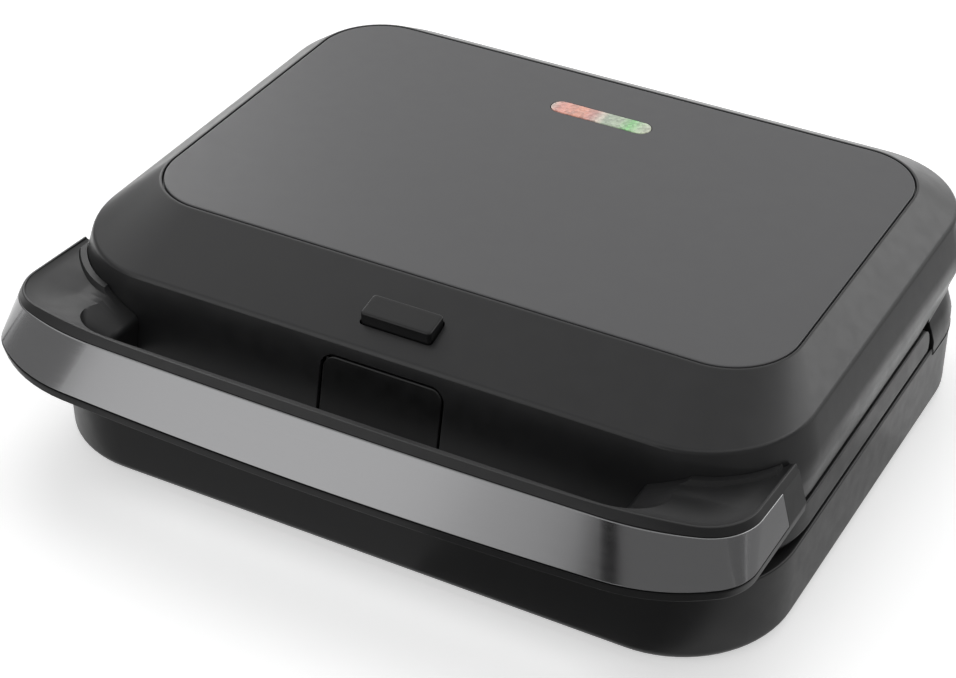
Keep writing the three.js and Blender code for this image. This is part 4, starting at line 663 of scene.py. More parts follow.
def frame_moulding():
    z = (FRAME_BOTTOM, FRAME_TOP)
    across = wider((-FRAME_RING.half, FRAME_RING.half), OVERRUN)
    side = np.concatenate([
        [(FRAME_RING.front - OVERRUN, z[0])],
        arc(ARM_REAR - ARM_ROUND, z[0] + ARM_ROUND, ARM_ROUND, -QUARTER_TURN, 0),
        arc(ARM_REAR - ARM_ROUND, z[1] - ARM_ROUND, ARM_ROUND, 0, QUARTER_TURN),
        [(FRAME_RING.front - OVERRUN, z[1])],
    ])
    shape = loft(soften([
        ring(FRAME_RING, z[0], -ARM_FOOT),
        ring(FRAME_RING, z[0] + ARM_FOOT_RISE),
        ring(FRAME_RING, z[1], -ARM_DRAWN),
        ring(FRAME_RING, z[1], -WALL),
    ], ARM_BENDS))
    arms = common(shape, prism(X_AXIS, side, across))
    bar = box((-BAR_HALF, BAR_HALF), (ARM_REAR / 2, BAR_REAR), z)
    hollow_z = (FRAME_FLOOR, FRAME_TOP + OVERRUN)
    past = (FRAME_FLOOR - OVERRUN, FRAME_TOP + 2 * OVERRUN)
    behind = box(across, (ARM_REAR - WALL, FRAME_RING.rear + OVERRUN), past)
    arm_hollow = cut(slab(FRAME_RING, hollow_z, -WALL), behind)
    bar_hollow = box((-BAR_HALF + WALL, BAR_HALF - WALL), (0, BAR_REAR - WALL), hollow_z)
    groove = cut(join(arm_hollow, bar_hollow), slab(PLATE, past, FRAME_OPENING + INNER_WALL))
    through = wider(z, OVERRUN)
    notch = box(NOTCH_X, (FRONT_INSIDE, PLATE.front + WALL), through)
    slot = box((-SLOT_HALF, SLOT_HALF), (FRONT_INSIDE, SLOT_REAR), through)
    tab = box(TAB_X, (PLATE.rear, TAB_REAR), hollow_z)
    eyes = []
    for span in LUG_SPANS:
        eyes.append(rod(X_AXIS, LUG, span, HINGE_Y, HINGE_Z))
        eyes.append(box(span, (LUG_ARM_Y, HINGE_Y), (FRAME_FLOOR, LUG_ARM_TOP)))
    pin_span = wider((LUG_SPANS[0][0], LUG_SPANS[1][1]), OVERRUN)
    pin = rod(X_AXIS, HINGE_PIN + CLEAR, pin_span, HINGE_Y, HINGE_Z)
    terminal_span = (PLATE.rear, PLATE.rear + WALL + CLEAR)
    terminal = rod(Y_AXIS, TERMINAL_HOLE, terminal_span, TERMINAL_X, UPPER_ELEMENT_Z)
    recesses = [screw_recess(place, FRAME_BOTTOM) for place in FRAME_PLACES]
    frame_ring = cut(join(arms, bar), groove)
    whole = join(frame_ring, handle_body(), *both_sides(*eyes))
    return cut(
        whole,
        slab(PLATE, through, FRAME_OPENING),
        slot,
        *both_sides(notch, tab, terminal, pin, *recesses),
    )


def band_strip():
    """A thin band swept round the handle's front, its long edges rounded, with a map along its length."""
    low, high = HANDLE_BULGE_Z + CLEAR, HANDLE_RIM_Z - 2 * CLEAR
    edge = BAND_THICK / 3
    section = np.concatenate([
        arc(low + edge, edge, edge, HALF_TURN + QUARTER_TURN, HALF_TURN, BEND_STEPS),
        arc(low + edge, BAND_THICK - edge, edge, HALF_TURN, QUARTER_TURN, BEND_STEPS),
        arc(high - edge, BAND_THICK - edge, edge, QUARTER_TURN, 0, BEND_STEPS),
        arc(high - edge, edge, edge, 0, -QUARTER_TURN, BEND_STEPS),
    ])
    rows = []
    for z, depth in section:
        points = outline(handle_plan(z), -depth)
        kept = points[: 2 * (CORNER_STEPS + 1) + FRONT_STEPS - 1]
        kept = np.concatenate([[(kept[0][0], BAND_REAR)], kept, [(kept[-1][0], BAND_REAR)]])
        rows.append(fallen(kept, z))
    grid = np.stack(rows, axis=1)
    length, around = grid.shape[:2]
    faces = []
    for i in range(length - 1):
        for j in range(around):
            k = (j + 1) % around
            faces.append((i * around + j, i * around + k, (i + 1) * around + k, (i + 1) * around + j))
    faces.append(tuple(range(around)))
    faces.append(tuple((length - 1) * around + j for j in range(around))[::-1])
    strip = mesh_object("band", grid.reshape(-1, 3), faces)
    travel = np.concatenate([[0], np.cumsum(np.linalg.norm(np.diff(grid[:, 0], axis=0), axis=1))])
    mapping = strip.data.uv_layers.new(name="along")
    for loop, corner in zip(strip.data.loops, mapping.data):
        row, column = divmod(loop.vertex_index, around)
        corner.uv = (travel[row], section[column][0])
    return strip


# Screws, coils and tubes from node trees

BASE_PLACES = ((0.145, -0.040), (0.072, 0.122))
FRAME_PLACES = ((0.143, -0.030), (0.060, 0.099))
HANDLE_PLACES = ((0.045, -0.1224), (0.092, -0.1214))
SCREW_HEAD = 0.0027
SCREW_HEAD_HEIGHT = 0.0012
SCREW_SHANK = 0.0014
SCREW_SEAT = 0.0016
SCREW_SLOT = 0.0007
SCREW_LENGTH = 0.010
HANDLE_SCREW_LENGTH = 0.008
COIL_RADIUS = 0.0023
COIL_PITCH = 0.0012
COIL_STEPS = 20
WIRE_RADIUS = 0.0004
WIRE_SIDES = 8
TUBE_SIDES = 16
TUBE_BEND_STEPS = 10


def screw_recess(place, face):
    """The room for a screw's head and shank, up from the bottom face that it is driven into."""
    head = rod(Z_AXIS, SCREW_HEAD + CLEAR, (face - OVERRUN, face + SCREW_SEAT), *place)
    return join(head, rod(Z_AXIS, SCREW_SHANK + CLEAR, (face, face + SCREW_LENGTH + 2 * CLEAR), *place))


def fill(tree, node, inputs):
    """Sets a node's inputs to values, or links them to other nodes' outputs."""
    for key, value in inputs.items():
        for one in value if isinstance(value, list) else [value]:
            if isinstance(one, bpy.types.NodeSocket):
                tree.links.new(one, node.inputs[key])
            else:
                node.inputs[key].default_value = one
    return node


def add_node(tree, kind, inputs=None, **settings):
    """A new node with its properties and its inputs set."""
    node = tree.nodes.new(kind)
    for key, value in settings.items():
        setattr(node, key, value)
    return fill(tree, node, inputs or {})


FLOAT, VECTOR, MATERIAL = ("NodeSocketFloat", "NodeSocketVector", "NodeSocketMaterial")


def node_tree(name, inputs):
    """A geometry node tree with named inputs; returns the tree, its given values and its output node."""
    tree = bpy.data.node_groups.new(name, "GeometryNodeTree")
    tree.interface.new_socket("Geometry", in_out="INPUT", socket_type="NodeSocketGeometry")
    for label, kind in [*inputs, ("Material", MATERIAL)]:
        tree.interface.new_socket(label, in_out="INPUT", socket_type=kind)
    tree.interface.new_socket("Geometry", in_out="OUTPUT", socket_type="NodeSocketGeometry")
    return tree, tree.nodes.new("NodeGroupInput").outputs, tree.nodes.new("NodeGroupOutput")


def end_tree(tree, given, out, geometry):
    """Ends a tree: instances become real, and the material is set."""
    real = add_node(tree, "GeometryNodeRealizeInstances", {0: geometry})
    painted = add_node(
        tree, "GeometryNodeSetMaterial", {"Geometry": real.outputs[0], "Material": given["Material"]},
    )
    fill(tree, out, {0: painted.outputs[0]})
    return tree


def run_tree(obj, tree, values):
    """Runs a tree on an object with its inputs set by identifier, and keeps the result as a plain mesh."""
    modifier = obj.modifiers.new(tree.name, "NODES")
    modifier.node_group = tree
    for item in tree.interface.items_tree:
        if item.item_type == "SOCKET" and item.in_out == "INPUT" and item.name in values:
            modifier[item.identifier] = values[item.name]
    return plain_mesh(obj)


def swept_wire(tree, path, radius, sides):
    """A round wire along a path, closed at its ends."""
    circle = add_node(tree, "GeometryNodeCurvePrimitiveCircle", {"Resolution": sides, "Radius": radius})
    wire = add_node(tree, "GeometryNodeCurveToMesh", {
        "Curve": path, "Profile Curve": circle.outputs["Curve"], "Fill Caps": True,
    })
    return wire.outputs["Mesh"]


def screw_tree():
    labels = ("Head radius", "Head height", "Shank radius", "Length", "Slot width")
    tree, given, out = node_tree("screws", [(label, FLOAT) for label in labels])

    def standing(radius, depth, sides):
        """A cylinder raised by half its depth, so that it stands on the screw's lower face."""
        cylinder = add_node(tree, "GeometryNodeMeshCylinder", {
            "Vertices": sides, "Radius": given[radius], "Depth": given[depth],
        })
        half = add_node(tree, "ShaderNodeMath", {0: given[depth], 1: 1 / 2}, operation="MULTIPLY")
        lift = add_node(tree, "ShaderNodeCombineXYZ", {"Z": half.outputs[0]})
        return add_node(tree, "GeometryNodeTransform", {
            "Geometry": cylinder.outputs["Mesh"], "Translation": lift.outputs[0],
        }).outputs[0]

    def slot(x, y):
        size = add_node(tree, "ShaderNodeCombineXYZ", {
            "X": given[x], "Y": given[y], "Z": given["Head height"],
        })
        return add_node(tree, "GeometryNodeMeshCube", {"Size": size.outputs[0]}).outputs["Mesh"]

    head = add_node(tree, "GeometryNodeMeshBoolean", {
        0: standing("Head radius", "Head height", ROUND_SIDES // 2),
        1: [slot("Head radius", "Slot width"), slot("Slot width", "Head radius")],
    }, operation="DIFFERENCE", solver="EXACT")
    both = add_node(tree, "GeometryNodeJoinGeometry", {
        0: [head.outputs["Mesh"], standing("Shank radius", "Length", ROUND_SIDES // 4)],
    })
    screws = add_node(tree, "GeometryNodeInstanceOnPoints", {
        "Points": given["Geometry"], "Instance": both.outputs[0],
    })
    return end_tree(tree, given, out, screws.outputs[0])


def coil_tree():
    tree, given, out = node_tree("coil", [
        ("Turns", FLOAT), ("Coil radius", FLOAT), ("Wire radius", FLOAT), ("Length", FLOAT),
        ("Start", VECTOR), ("Turned", VECTOR),
    ])
    spiral = add_node(tree, "GeometryNodeCurveSpiral", {
        "Resolution": COIL_STEPS, "Rotations": given["Turns"], "Start Radius": given["Coil radius"],
        "End Radius": given["Coil radius"], "Height": given["Length"],
    })
    placed = add_node(tree, "GeometryNodeTransform", {
        "Geometry": swept_wire(tree, spiral.outputs["Curve"], given["Wire radius"], WIRE_SIDES),
        "Translation": given["Start"], "Rotation": given["Turned"],
    })
    return end_tree(tree, given, out, placed.outputs[0])


def tube_tree():
    tree, given, out = node_tree("tube", [("Bend radius", FLOAT), ("Tube radius", FLOAT)])
    path = add_node(tree, "GeometryNodeMeshToCurve", {"Mesh": given["Geometry"]})
    bend = add_node(tree, "GeometryNodeFilletCurve", {
        "Curve": path.outputs["Curve"], "Count": TUBE_BEND_STEPS, "Radius": given["Bend radius"],
    }, mode="POLY")
    tube = swept_wire(tree, bend.outputs["Curve"], given["Tube radius"], TUBE_SIDES)
    return end_tree(tree, given, out, tube)


# Base

PLATE_GAP = 0.001
EAR_X = 0.139
EAR_FRONT = 0.077
EAR_TOP = 0.047
EAR_CORNER = 0.005
EAR_ROUND = ((0.009, 0.0), (0.004, 0.0015), (0.0012, 0.0032), (0.0, 0.0045))
BOSS = 0.0036
LATCH_SLOT_HALF = 0.012
LATCH_SLOT_Y = (-0.0994, -0.0844)
CATCH_NOTCH_X = (-0.1505, -0.132)
CATCH_NOTCH_HALF = 0.0053
LOWER_BUTTON_HALF = 0.008
LOWER_BUTTON_Z = (0.0095, 0.0185)
LOWER_BUTTON_PROUD = 0.0018
INLET_X = -0.070
INLET_Z = 0.018
INLET_RADIUS = 0.0057
INLET_COLLAR = 0.0076
INLET_BORE = 0.0033
INLET_LENGTH = 0.003
BASE_BENDS = (0.0008, 0.0012, 0.0009)


def ear_body(grow):
    top = EAR_TOP + grow
    rings = [ring(BASE_RIM, FLANGE_LOW, grow)]
    rings += [ring(BASE_RIM, top - depth, grow - drawn) for depth, drawn in EAR_ROUND]
    low = FLANGE_LOW - OVERRUN
    far = BASE_RIM.rear + OVERRUN
    corner = arc(EAR_FRONT - grow + EAR_CORNER, top - EAR_CORNER, EAR_CORNER, QUARTER_TURN, HALF_TURN)
    side = np.concatenate([[(EAR_FRONT - grow, low), (far, low), (far, top)], corner])
    return common(loft(rings), prism(X_AXIS, side, (EAR_X - grow, BASE_RIM.half + OVERRUN)))


def base_tub():
    rings = [
        ring(BASE_FOOT, FOOT_TOP, -WALL),
        ring(BASE_FOOT, FOOT_TOP),
        ring(BASE_WALL, BASE_EDGE),
        ring(BASE_RIM, BASE_TOP),
        ring(BASE_RIM, BASE_TOP, -WALL),
    ]
    shell = join(loft(soften(rings, BASE_BENDS)), *both_sides(ear_body(0)))
    hollow = join(
        loft([
            ring(BASE_FOOT, FOOT_TOP - OVERRUN, -WALL),
            ring(BASE_FOOT, COVER_TOP + CLEAR, -WALL),
            ring(BASE_WALL, COVER_TOP + WALL, -WALL),
            ring(BASE_RIM, FLANGE_LOW, -WALL),
        ]),
        *both_sides(ear_body(-WALL)),
    )
    cut(shell, hollow)
    stem = box(KNUCKLE_X, KNUCKLE_Y, (FLANGE_LOW, HINGE_Z))
    eye = soft_rod(X_AXIS, KNUCKLE, KNUCKLE_X, HINGE_Y, HINGE_Z, SHEET / 2)
    bosses = [rod(Z_AXIS, BOSS, (COVER_TOP + CLEAR, FLANGE_LOW + CLEAR), *place) for place in BASE_PLACES]
    join(shell, *both_sides(join(stem, eye), *bosses))
    opening = (FLANGE_LOW - OVERRUN, BASE_TOP + OVERRUN)
    pin = rod(X_AXIS, HINGE_PIN + CLEAR, wider(KNUCKLE_X, OVERRUN), HINGE_Y, HINGE_Z)
    catch = box(CATCH_NOTCH_X, (-CATCH_NOTCH_HALF, CATCH_NOTCH_HALF), opening)
    latch = box((-LATCH_SLOT_HALF, LATCH_SLOT_HALF), LATCH_SLOT_Y, opening)
    button = box(
        (-BASE_WALL.half - OVERRUN, -BASE_WALL.half + OVERRUN),
        wider((-LOWER_BUTTON_HALF, LOWER_BUTTON_HALF), CLEAR),
        wider(LOWER_BUTTON_Z, CLEAR),
    )
    inlet_span = wider((BASE_WALL.rear, BASE_WALL.rear), OVERRUN)
    inlet = rod(Y_AXIS, INLET_RADIUS + CLEAR, inlet_span, INLET_X, INLET_Z)
    return cut(
        shell,
        slab(PLATE, opening, PLATE_GAP),
        catch,
        latch,
        button,
        inlet,
        *both_sides(pin, *(screw_recess(place, FOOT_TOP) for place in BASE_PLACES)),
    )


FOOT_PLACES = ((0.118, -0.072), (0.118, 0.100))
FOOT_RADIUS = 0.009
FOOT_STEM = 0.003
FOOT_CAP = 0.0042
FOOT_CAP_HEIGHT = 0.0016
FOOT_EDGE = 0.0007
VENT_HALF = 0.012
VENT_WIDTH = 0.003
VENT_PITCH = 0.008
VENT_COUNT = 6
VENT_Y = 0.020


def foot_at(x, y):
    pad = soft_rod(Z_AXIS, FOOT_RADIUS, (0, FOOT_TOP - CLEAR), x, y, FOOT_EDGE)
    cap_z = COVER_TOP + CLEAR
    stem = rod(Z_AXIS, FOOT_STEM, (FOOT_TOP - 2 * CLEAR, cap_z + CLEAR), x, y)
    return join(pad, stem, rod(Z_AXIS, FOOT_CAP, (cap_z, cap_z + FOOT_CAP_HEIGHT), x, y))


def rubber_feet():
    first, *rest = [foot_at(side * x, y) for x, y in FOOT_PLACES for side in (-1, 1)]
    return join(first, *rest)


def inlet_bushing():
    """A sleeve through the rear wall with a collar on each side of it, and a bore for a cord."""
    inside, outside = BASE_WALL.rear - WALL, BASE_WALL.rear
    low, high = inside - INLET_LENGTH, outside + INLET_LENGTH
    place = (INLET_X, INLET_Z)
    bushing = join(
        rod(Y_AXIS, INLET_RADIUS, (low, high), *place),
        rod(Y_AXIS, INLET_COLLAR, (low, inside - CLEAR), *place),
        soft_rod(Y_AXIS, INLET_COLLAR, (outside + CLEAR, high), *place, FOOT_EDGE),
    )
    return cut(bushing, rod(Y_AXIS, INLET_BORE, wider((inside, outside), OVERRUN), *place))


def cover_plate():
    through = wider((FOOT_TOP, COVER_TOP), OVERRUN)
    holes = both_sides(*(screw_recess(place, FOOT_TOP) for place in BASE_PLACES))
    holes += both_sides(*(rod(Z_AXIS, FOOT_STEM + CLEAR, through, *place) for place in FOOT_PLACES))
    for i in range(VENT_COUNT):
        y = (VENT_Y + i * VENT_PITCH, VENT_Y + i * VENT_PITCH + VENT_WIDTH)
        vent = rounded_box_outline((-VENT_HALF, VENT_HALF), y, VENT_WIDTH / 3)
        holes.append(prism(Z_AXIS, vent, through))
    return cut(slab(BASE_FOOT, (FOOT_TOP, COVER_TOP), -WALL - CLEAR), *holes)


# Cooking plates

LOWER_PLATE_Z = (0.0233, 0.0353)
UPPER_PLATE_BOTTOM = 0.0357
POCKET_DEPTH = 0.0085
POCKET_CORNER = 0.009
POCKET_DRAFT = 0.003
POCKET_BENDS = (0.0025, 0.0015)
PLATE_RIM = 0.009
PLATE_RIB = 0.004
TAB_SPAN = (0.070, 0.090)
TAB_REACH = 0.004
TAB_Z = 0.005
TAB_HEIGHT = 0.003
LUG_REACH = 0.005
LUG_HEIGHT = 0.003
LOWER_LUG_TOP = 0.032
LOWER_LUG_HALF = 0.0045
UPPER_LUG_X = (0.028, 0.036)
UPPER_LUG_BOTTOM = 0.0388


def rounded_polygon(corners, radius):
    """A polygon's points with each corner bent, starting the radius away from it."""
    corners = np.asarray(corners, float)
    points = []
    for i, corner in enumerate(corners):
        before, after = corners[i - 1], corners[(i + 1) % len(corners)]
        start = corner + (before - corner) * radius / np.linalg.norm(before - corner)
        end = corner + (after - corner) * radius / np.linalg.norm(after - corner)
        points += [bend_point(start, corner, end, t) for t in np.linspace(0, 1, CORNER_STEPS // 2 + 1)]
    return np.array(points)


def pocket(corners, z):
    """One pocket as a solid, its floor at z[0] and its mouth, flared at the plate's face, at z[1]."""
    mouth = rounded_polygon(corners, POCKET_CORNER)
    middle = mouth.mean(axis=0)
    reach = np.linalg.norm(mouth - middle, axis=1).max()

    def drawn(distance):
        return middle + (mouth - middle) * (1 - distance / reach)

    return loft(soften([
        at_height(drawn(3 * POCKET_DRAFT), z[0]),
        at_height(drawn(POCKET_DRAFT), z[0]),
        at_height(mouth, z[1]),
        at_height(drawn(-2 * POCKET_DRAFT), z[1] + POCKET_DRAFT / 2),
    ], POCKET_BENDS))


def plate_body(looks_up):
    """The slab, pockets and rear tabs of a plate, made as the lower one and turned over for the upper."""
    bottom, top = LOWER_PLATE_Z
    right, left = PLATE.half - PLATE_RIM, PLATE_RIM / 2
    front, rear = PLATE.front + PLATE_RIM, PLATE.rear - PLATE_RIM
    pocket_z = (top - POCKET_DEPTH, top)
    outer = pocket([(left + PLATE_RIB, front), (right, front), (right, rear - PLATE_RIB)], pocket_z)
    inner = pocket([(left, front + PLATE_RIB), (right - PLATE_RIB, rear), (left, rear)], pocket_z)
    tab_z = (bottom + TAB_Z, bottom + TAB_Z + TAB_HEIGHT)
    tab = box(TAB_SPAN, (PLATE.rear - PLATE_RIM, PLATE.rear + TAB_REACH), tab_z)
    body = join(cut(slab(PLATE, LOWER_PLATE_Z), *both_sides(outer, inner)), *both_sides(tab))
    if not looks_up:
        body.data.transform(Matrix.Scale(-1, 4, Vector((0, 0, 1))))
        body.data.transform(Matrix.Translation((0, 0, top + UPPER_PLATE_BOTTOM)))
        body.data.flip_normals()
    return body


def lower_plate():
    lug = box(
        (-PLATE.half - LUG_REACH, -PLATE.half + PLATE_RIM / 2),
        (-LOWER_LUG_HALF, LOWER_LUG_HALF),
        (LOWER_LUG_TOP - LUG_HEIGHT, LOWER_LUG_TOP),
    )
    return join(plate_body(True), lug)


def upper_plate():
    lug = box(
        UPPER_LUG_X,
        (PLATE.front - LUG_REACH, PLATE.front + PLATE_RIM / 2),
        (UPPER_LUG_BOTTOM, UPPER_LUG_BOTTOM + LUG_HEIGHT),
    )
    return join(plate_body(False), *both_sides(lug))


# Latch lever and release buttons

SHANK_HALF = 0.010
SHANK_SIDE = (
    (-0.0918, 0.054), (-0.0918, 0.0299), (-0.0976, 0.0299), (-0.0976, 0.0284),
    (-0.0966, 0.0274), (-0.0888, 0.0274), (-0.0888, 0.054),
)
LEVER_PIVOT = (-0.0825, 0.0705)
LEVER_PIN = 0.0015
LEVER_EAR = 0.003
LEVER_EAR_X = (0.018, 0.024)
LEVER_EDGE = 0.0006


def lever_body():
    def face(inset, depth):
        points = lever_outline(-inset)
        wall = front_wall(points[:, 1]) + CLEAR + depth
        return np.column_stack([points[:, 0], wall, points[:, 1]])

    sheet = loft(soften([face(4 * LEVER_EDGE, 0), face(0, 0), face(0, LEVER_THICK)], [LEVER_EDGE]))
    shank = prism(X_AXIS, SHANK_SIDE, (-SHANK_HALF, SHANK_HALF))
    arm_y = (front_wall(LEVER_PIVOT[1]) + CLEAR + LEVER_THICK / 2, LEVER_PIVOT[0])
    arm = box(LEVER_EAR_X, arm_y, wider((LEVER_PIVOT[1], LEVER_PIVOT[1]), LEVER_EAR))
    ears = both_sides(arm, rod(X_AXIS, LEVER_EAR, LEVER_EAR_X, *LEVER_PIVOT))
    bore = rod(X_AXIS, LEVER_PIN + CLEAR, (-LEVER_HALF, LEVER_HALF), *LEVER_PIVOT)
    return cut(join(sheet, shank, *ears), bore)


BUTTON_EDGE = 0.0008
BUTTON_RIM = 0.0016
BUTTON_RIM_THICK = 0.0014
BUTTON_STEM = 0.0015
BUTTON_STEM_LOW = 0.0658
BUTTON_STEM_Y = -0.06825


def button_body():
    """A block with rounded upright corners and a rounded top that rises to the rear as the shoulder does."""
    def block_ring(z, inset=0.0):
        corner = max(BUTTON_CORNER - inset, CLEAR)
        points = rounded_box_outline(wider(BUTTON_X, -inset), wider(BUTTON_Y, -inset), corner)
        share = (points[:, 1] - BUTTON_Y[0]) / (BUTTON_Y[1] - BUTTON_Y[0])
        return at_height(points, z[0] + (z[1] - z[0]) * share)

    skirt = (BUTTON_SKIRT, BUTTON_SKIRT)
    cap = loft(soften(
        [block_ring(skirt), block_ring(BUTTON_TOP), block_ring(BUTTON_TOP, 2 * BUTTON_EDGE)], [BUTTON_EDGE],
    ))
    rim = box(
        wider(BUTTON_X, BUTTON_RIM),
        wider(BUTTON_Y, BUTTON_RIM),
        (BUTTON_SKIRT - BUTTON_RIM_THICK, BUTTON_SKIRT),
    )
    stem = rod(Z_AXIS, BUTTON_STEM, (BUTTON_STEM_LOW, BUTTON_SKIRT), 0, BUTTON_STEM_Y)
    return join(cap, rim, stem)


LOWER_BUTTON_FLANGE_X = (-0.1502, -0.1487)
LOWER_BUTTON_RIM = 0.0014
NUB_HALF = 0.003
NUB_Z = 0.015
NUB_TIP = -0.1423


def lower_button_body():
    y = (-LOWER_BUTTON_HALF, LOWER_BUTTON_HALF)
    face = -BASE_WALL.half - LOWER_BUTTON_PROUD
    rings = []
    for x, inset in ((face, 2 * BUTTON_EDGE), (face, 0), (LOWER_BUTTON_FLANGE_X[1], 0)):
        points = rounded_box_outline(wider(y, -inset), wider(LOWER_BUTTON_Z, -inset), BUTTON_CORNER / 2)
        rings.append(np.insert(points, 0, x, axis=1))
    cap = loft(soften(rings, [BUTTON_EDGE]))
    rim = box(LOWER_BUTTON_FLANGE_X, wider(y, LOWER_BUTTON_RIM), wider(LOWER_BUTTON_Z, LOWER_BUTTON_RIM))
    nub_z = wider((NUB_Z, NUB_Z), NUB_HALF / 2)
    nub = box((LOWER_BUTTON_FLANGE_X[0], NUB_TIP), (-NUB_HALF, NUB_HALF), nub_z)
    return join(cap, rim, nub)


LENS_BOTTOM = 0.088
LENS_TOP = 0.0924
LENS_EDGE = 0.0005


def lens_body():
    stepped = capsule(LENS_HALF - LENS_STEP, LENS_RADIUS - LENS_STEP)
    plug = prism(Z_AXIS, stepped, (LENS_BOTTOM, RECESS + 2 * CLEAR))
    rings = [
        at_height(capsule(LENS_HALF, LENS_RADIUS), RECESS + CLEAR),
        at_height(capsule(LENS_HALF, LENS_RADIUS), LENS_TOP),
        at_height(capsule(LENS_HALF - 2 * LENS_EDGE, LENS_RADIUS - 2 * LENS_EDGE), LENS_TOP),
    ]
    return join(loft(soften(rings, [LENS_EDGE])), plug)


# Finishes

NOISE_RANGE = (0.3, 0.7)
MOTTLE_SCALE = 90
MOTTLE_DETAIL = 3
GLOSS_SCALE = 160
GLOSS_DETAIL = 2
GRAIN_DETAIL = 3
LINE_DETAIL = 4
SATIN = 0.4
WHITE = (1, 1, 1, 1)
BLACK = (0, 0, 0, 1)

# Mouldings in a setting's colour: material, setting, shares of its colour, roughness, grain's scale and
# height, shine
SET_MOULDINGS = {
    "shell": ("moulded_black", "shell", (0.9, 1), (0.36, 0.42), 2600, 0.00001, 0.42),
    "hood": ("hood_paint", "hood", (0.94, 1), (0.3, 0.36), 3200, 0.000008, 0.5),
    "panel": ("panel_satin", "panel", (0.97, 1), (0.3, 0.36), 4000, 0.000006, SATIN),
    "button": ("button_black", "shell", (0.6, 0.7), (0.3, 0.38), 3000, 0.00001, SATIN),
}
# Mouldings in fixed colours: material, dark, light, roughness, grain's scale and height
FIXED_MOULDINGS = {
    "coating": ("plate_coating", (0.022, 0.021, 0.02), (0.034, 0.033, 0.032), (0.38, 0.5), 900, 0.00006),
    "rubber": ("foot_rubber", (0.012, 0.012, 0.012), (0.02, 0.02, 0.02), (0.75, 0.9), 1500, 0.00004),
    "ceramic": ("cream_ceramic", (0.55, 0.5, 0.42), (0.7, 0.66, 0.58), (0.6, 0.75), 700, 0.00003),
    "board": ("board_green", (0.02, 0.09, 0.035), (0.03, 0.12, 0.05), (0.3, 0.45), 500, 0.00002),
    "light_red": ("light_red", (0.5, 0.05, 0.03), (0.62, 0.07, 0.04), (0.15, 0.25), 600, 0.00001),
    "light_green": ("light_green", (0.04, 0.25, 0.05), (0.06, 0.34, 0.07), (0.15, 0.25), 600, 0.00001),
}
# Metals: material, dark, light, roughness, then the lines' scale, how they are drawn out, and their height
FIXED_METALS = {
    "steel": (
        "pressed_steel", (0.42, 0.43, 0.44), (0.58, 0.59, 0.6), (0.25, 0.38), 60, (1, 12, 12), 0.000004,
    ),
    "dark_steel": (
        "sheath_steel", (0.08, 0.072, 0.066), (0.17, 0.155, 0.14), (0.35, 0.5), 120, (1, 1, 1), 0.000006,
    ),
}
BAND_DARK_SHARE = 0.97
BAND_ROUGHNESS = (0.14, 0.17)
BAND_LINES = (40, (1, 60, 1), 0.0000006)


def principled(tree):
    return tree.nodes["Principled BSDF"]


def new_material(name, inputs):
    """A material with inputs of its shader set; returns it and its tree."""
    material = bpy.data.materials.new(name)
    material.use_nodes = True
    fill(material.node_tree, principled(material.node_tree), inputs)
    return material, material.node_tree


def add_noise(tree, scale, detail, stretch=None, source="Object"):
    """A noise on the object's own coordinates, or on its map, drawn out along an axis where asked."""
    coordinates = add_node(tree, "ShaderNodeTexCoord").outputs[source]
    if stretch:
        mapping = add_node(tree, "ShaderNodeMapping", {"Vector": coordinates, "Scale": stretch})
        coordinates = mapping.outputs["Vector"]
    noise = add_node(tree, "ShaderNodeTexNoise", {"Vector": coordinates, "Scale": scale, "Detail": detail})
    return noise.outputs["Fac"]


def vary_color(tree, driver, dark, light):
    ramp = add_node(tree, "ShaderNodeValToRGB", {"Fac": driver})
    for element, position, color in zip(ramp.color_ramp.elements, NOISE_RANGE, (dark, light)):
        element.position = position
        element.color = (*color, 1)
    fill(tree, principled(tree), {"Base Color": ramp.outputs["Color"]})


def vary_roughness(tree, driver, roughness):
    spread = add_node(tree, "ShaderNodeMapRange", {
        "Value": driver, "From Min": NOISE_RANGE[0], "From Max": NOISE_RANGE[1],
        "To Min": roughness[0], "To Max": roughness[1],
    })
    fill(tree, principled(tree), {"Roughness": spread.outputs["Result"]})


def add_grain(tree, driver, height):
    """A bump as high, in metres, as the driver's whole range."""
    bump = add_node(tree, "ShaderNodeBump", {"Height": driver, "Strength": 1, "Distance": height})
    fill(tree, principled(tree), {"Normal": bump.outputs["Normal"]})


def moulded(name, dark, light, roughness, grain_scale, grain_height, specular=SATIN):
    """A moulded or painted surface: fine grain, slight mottling and slight changes of gloss."""
    material, tree = new_material(name, {
        "Base Color": (*light, 1), "Roughness": roughness[0], "Specular IOR Level": specular,
    })
    vary_color(tree, add_noise(tree, MOTTLE_SCALE, MOTTLE_DETAIL), dark, light)
    vary_roughness(tree, add_noise(tree, GLOSS_SCALE, GLOSS_DETAIL), roughness)
    add_grain(tree, add_noise(tree, grain_scale, GRAIN_DETAIL), grain_height)
    return material


def metal(name, dark, light, roughness, scale, stretch, height, source="Object"):
    """Metal with drawn-out lines from its working."""
    material, tree = new_material(name, {
        "Base Color": (*light, 1), "Roughness": roughness[0], "Metallic": 1,
    })
    lines = add_noise(tree, scale, LINE_DETAIL, stretch, source)
    vary_color(tree, lines, dark, light)
    vary_roughness(tree, lines, roughness)
    add_grain(tree, lines, height)
    return material


finishes = {}


def shaded(color, share):
    return tuple(channel * share for channel in color)


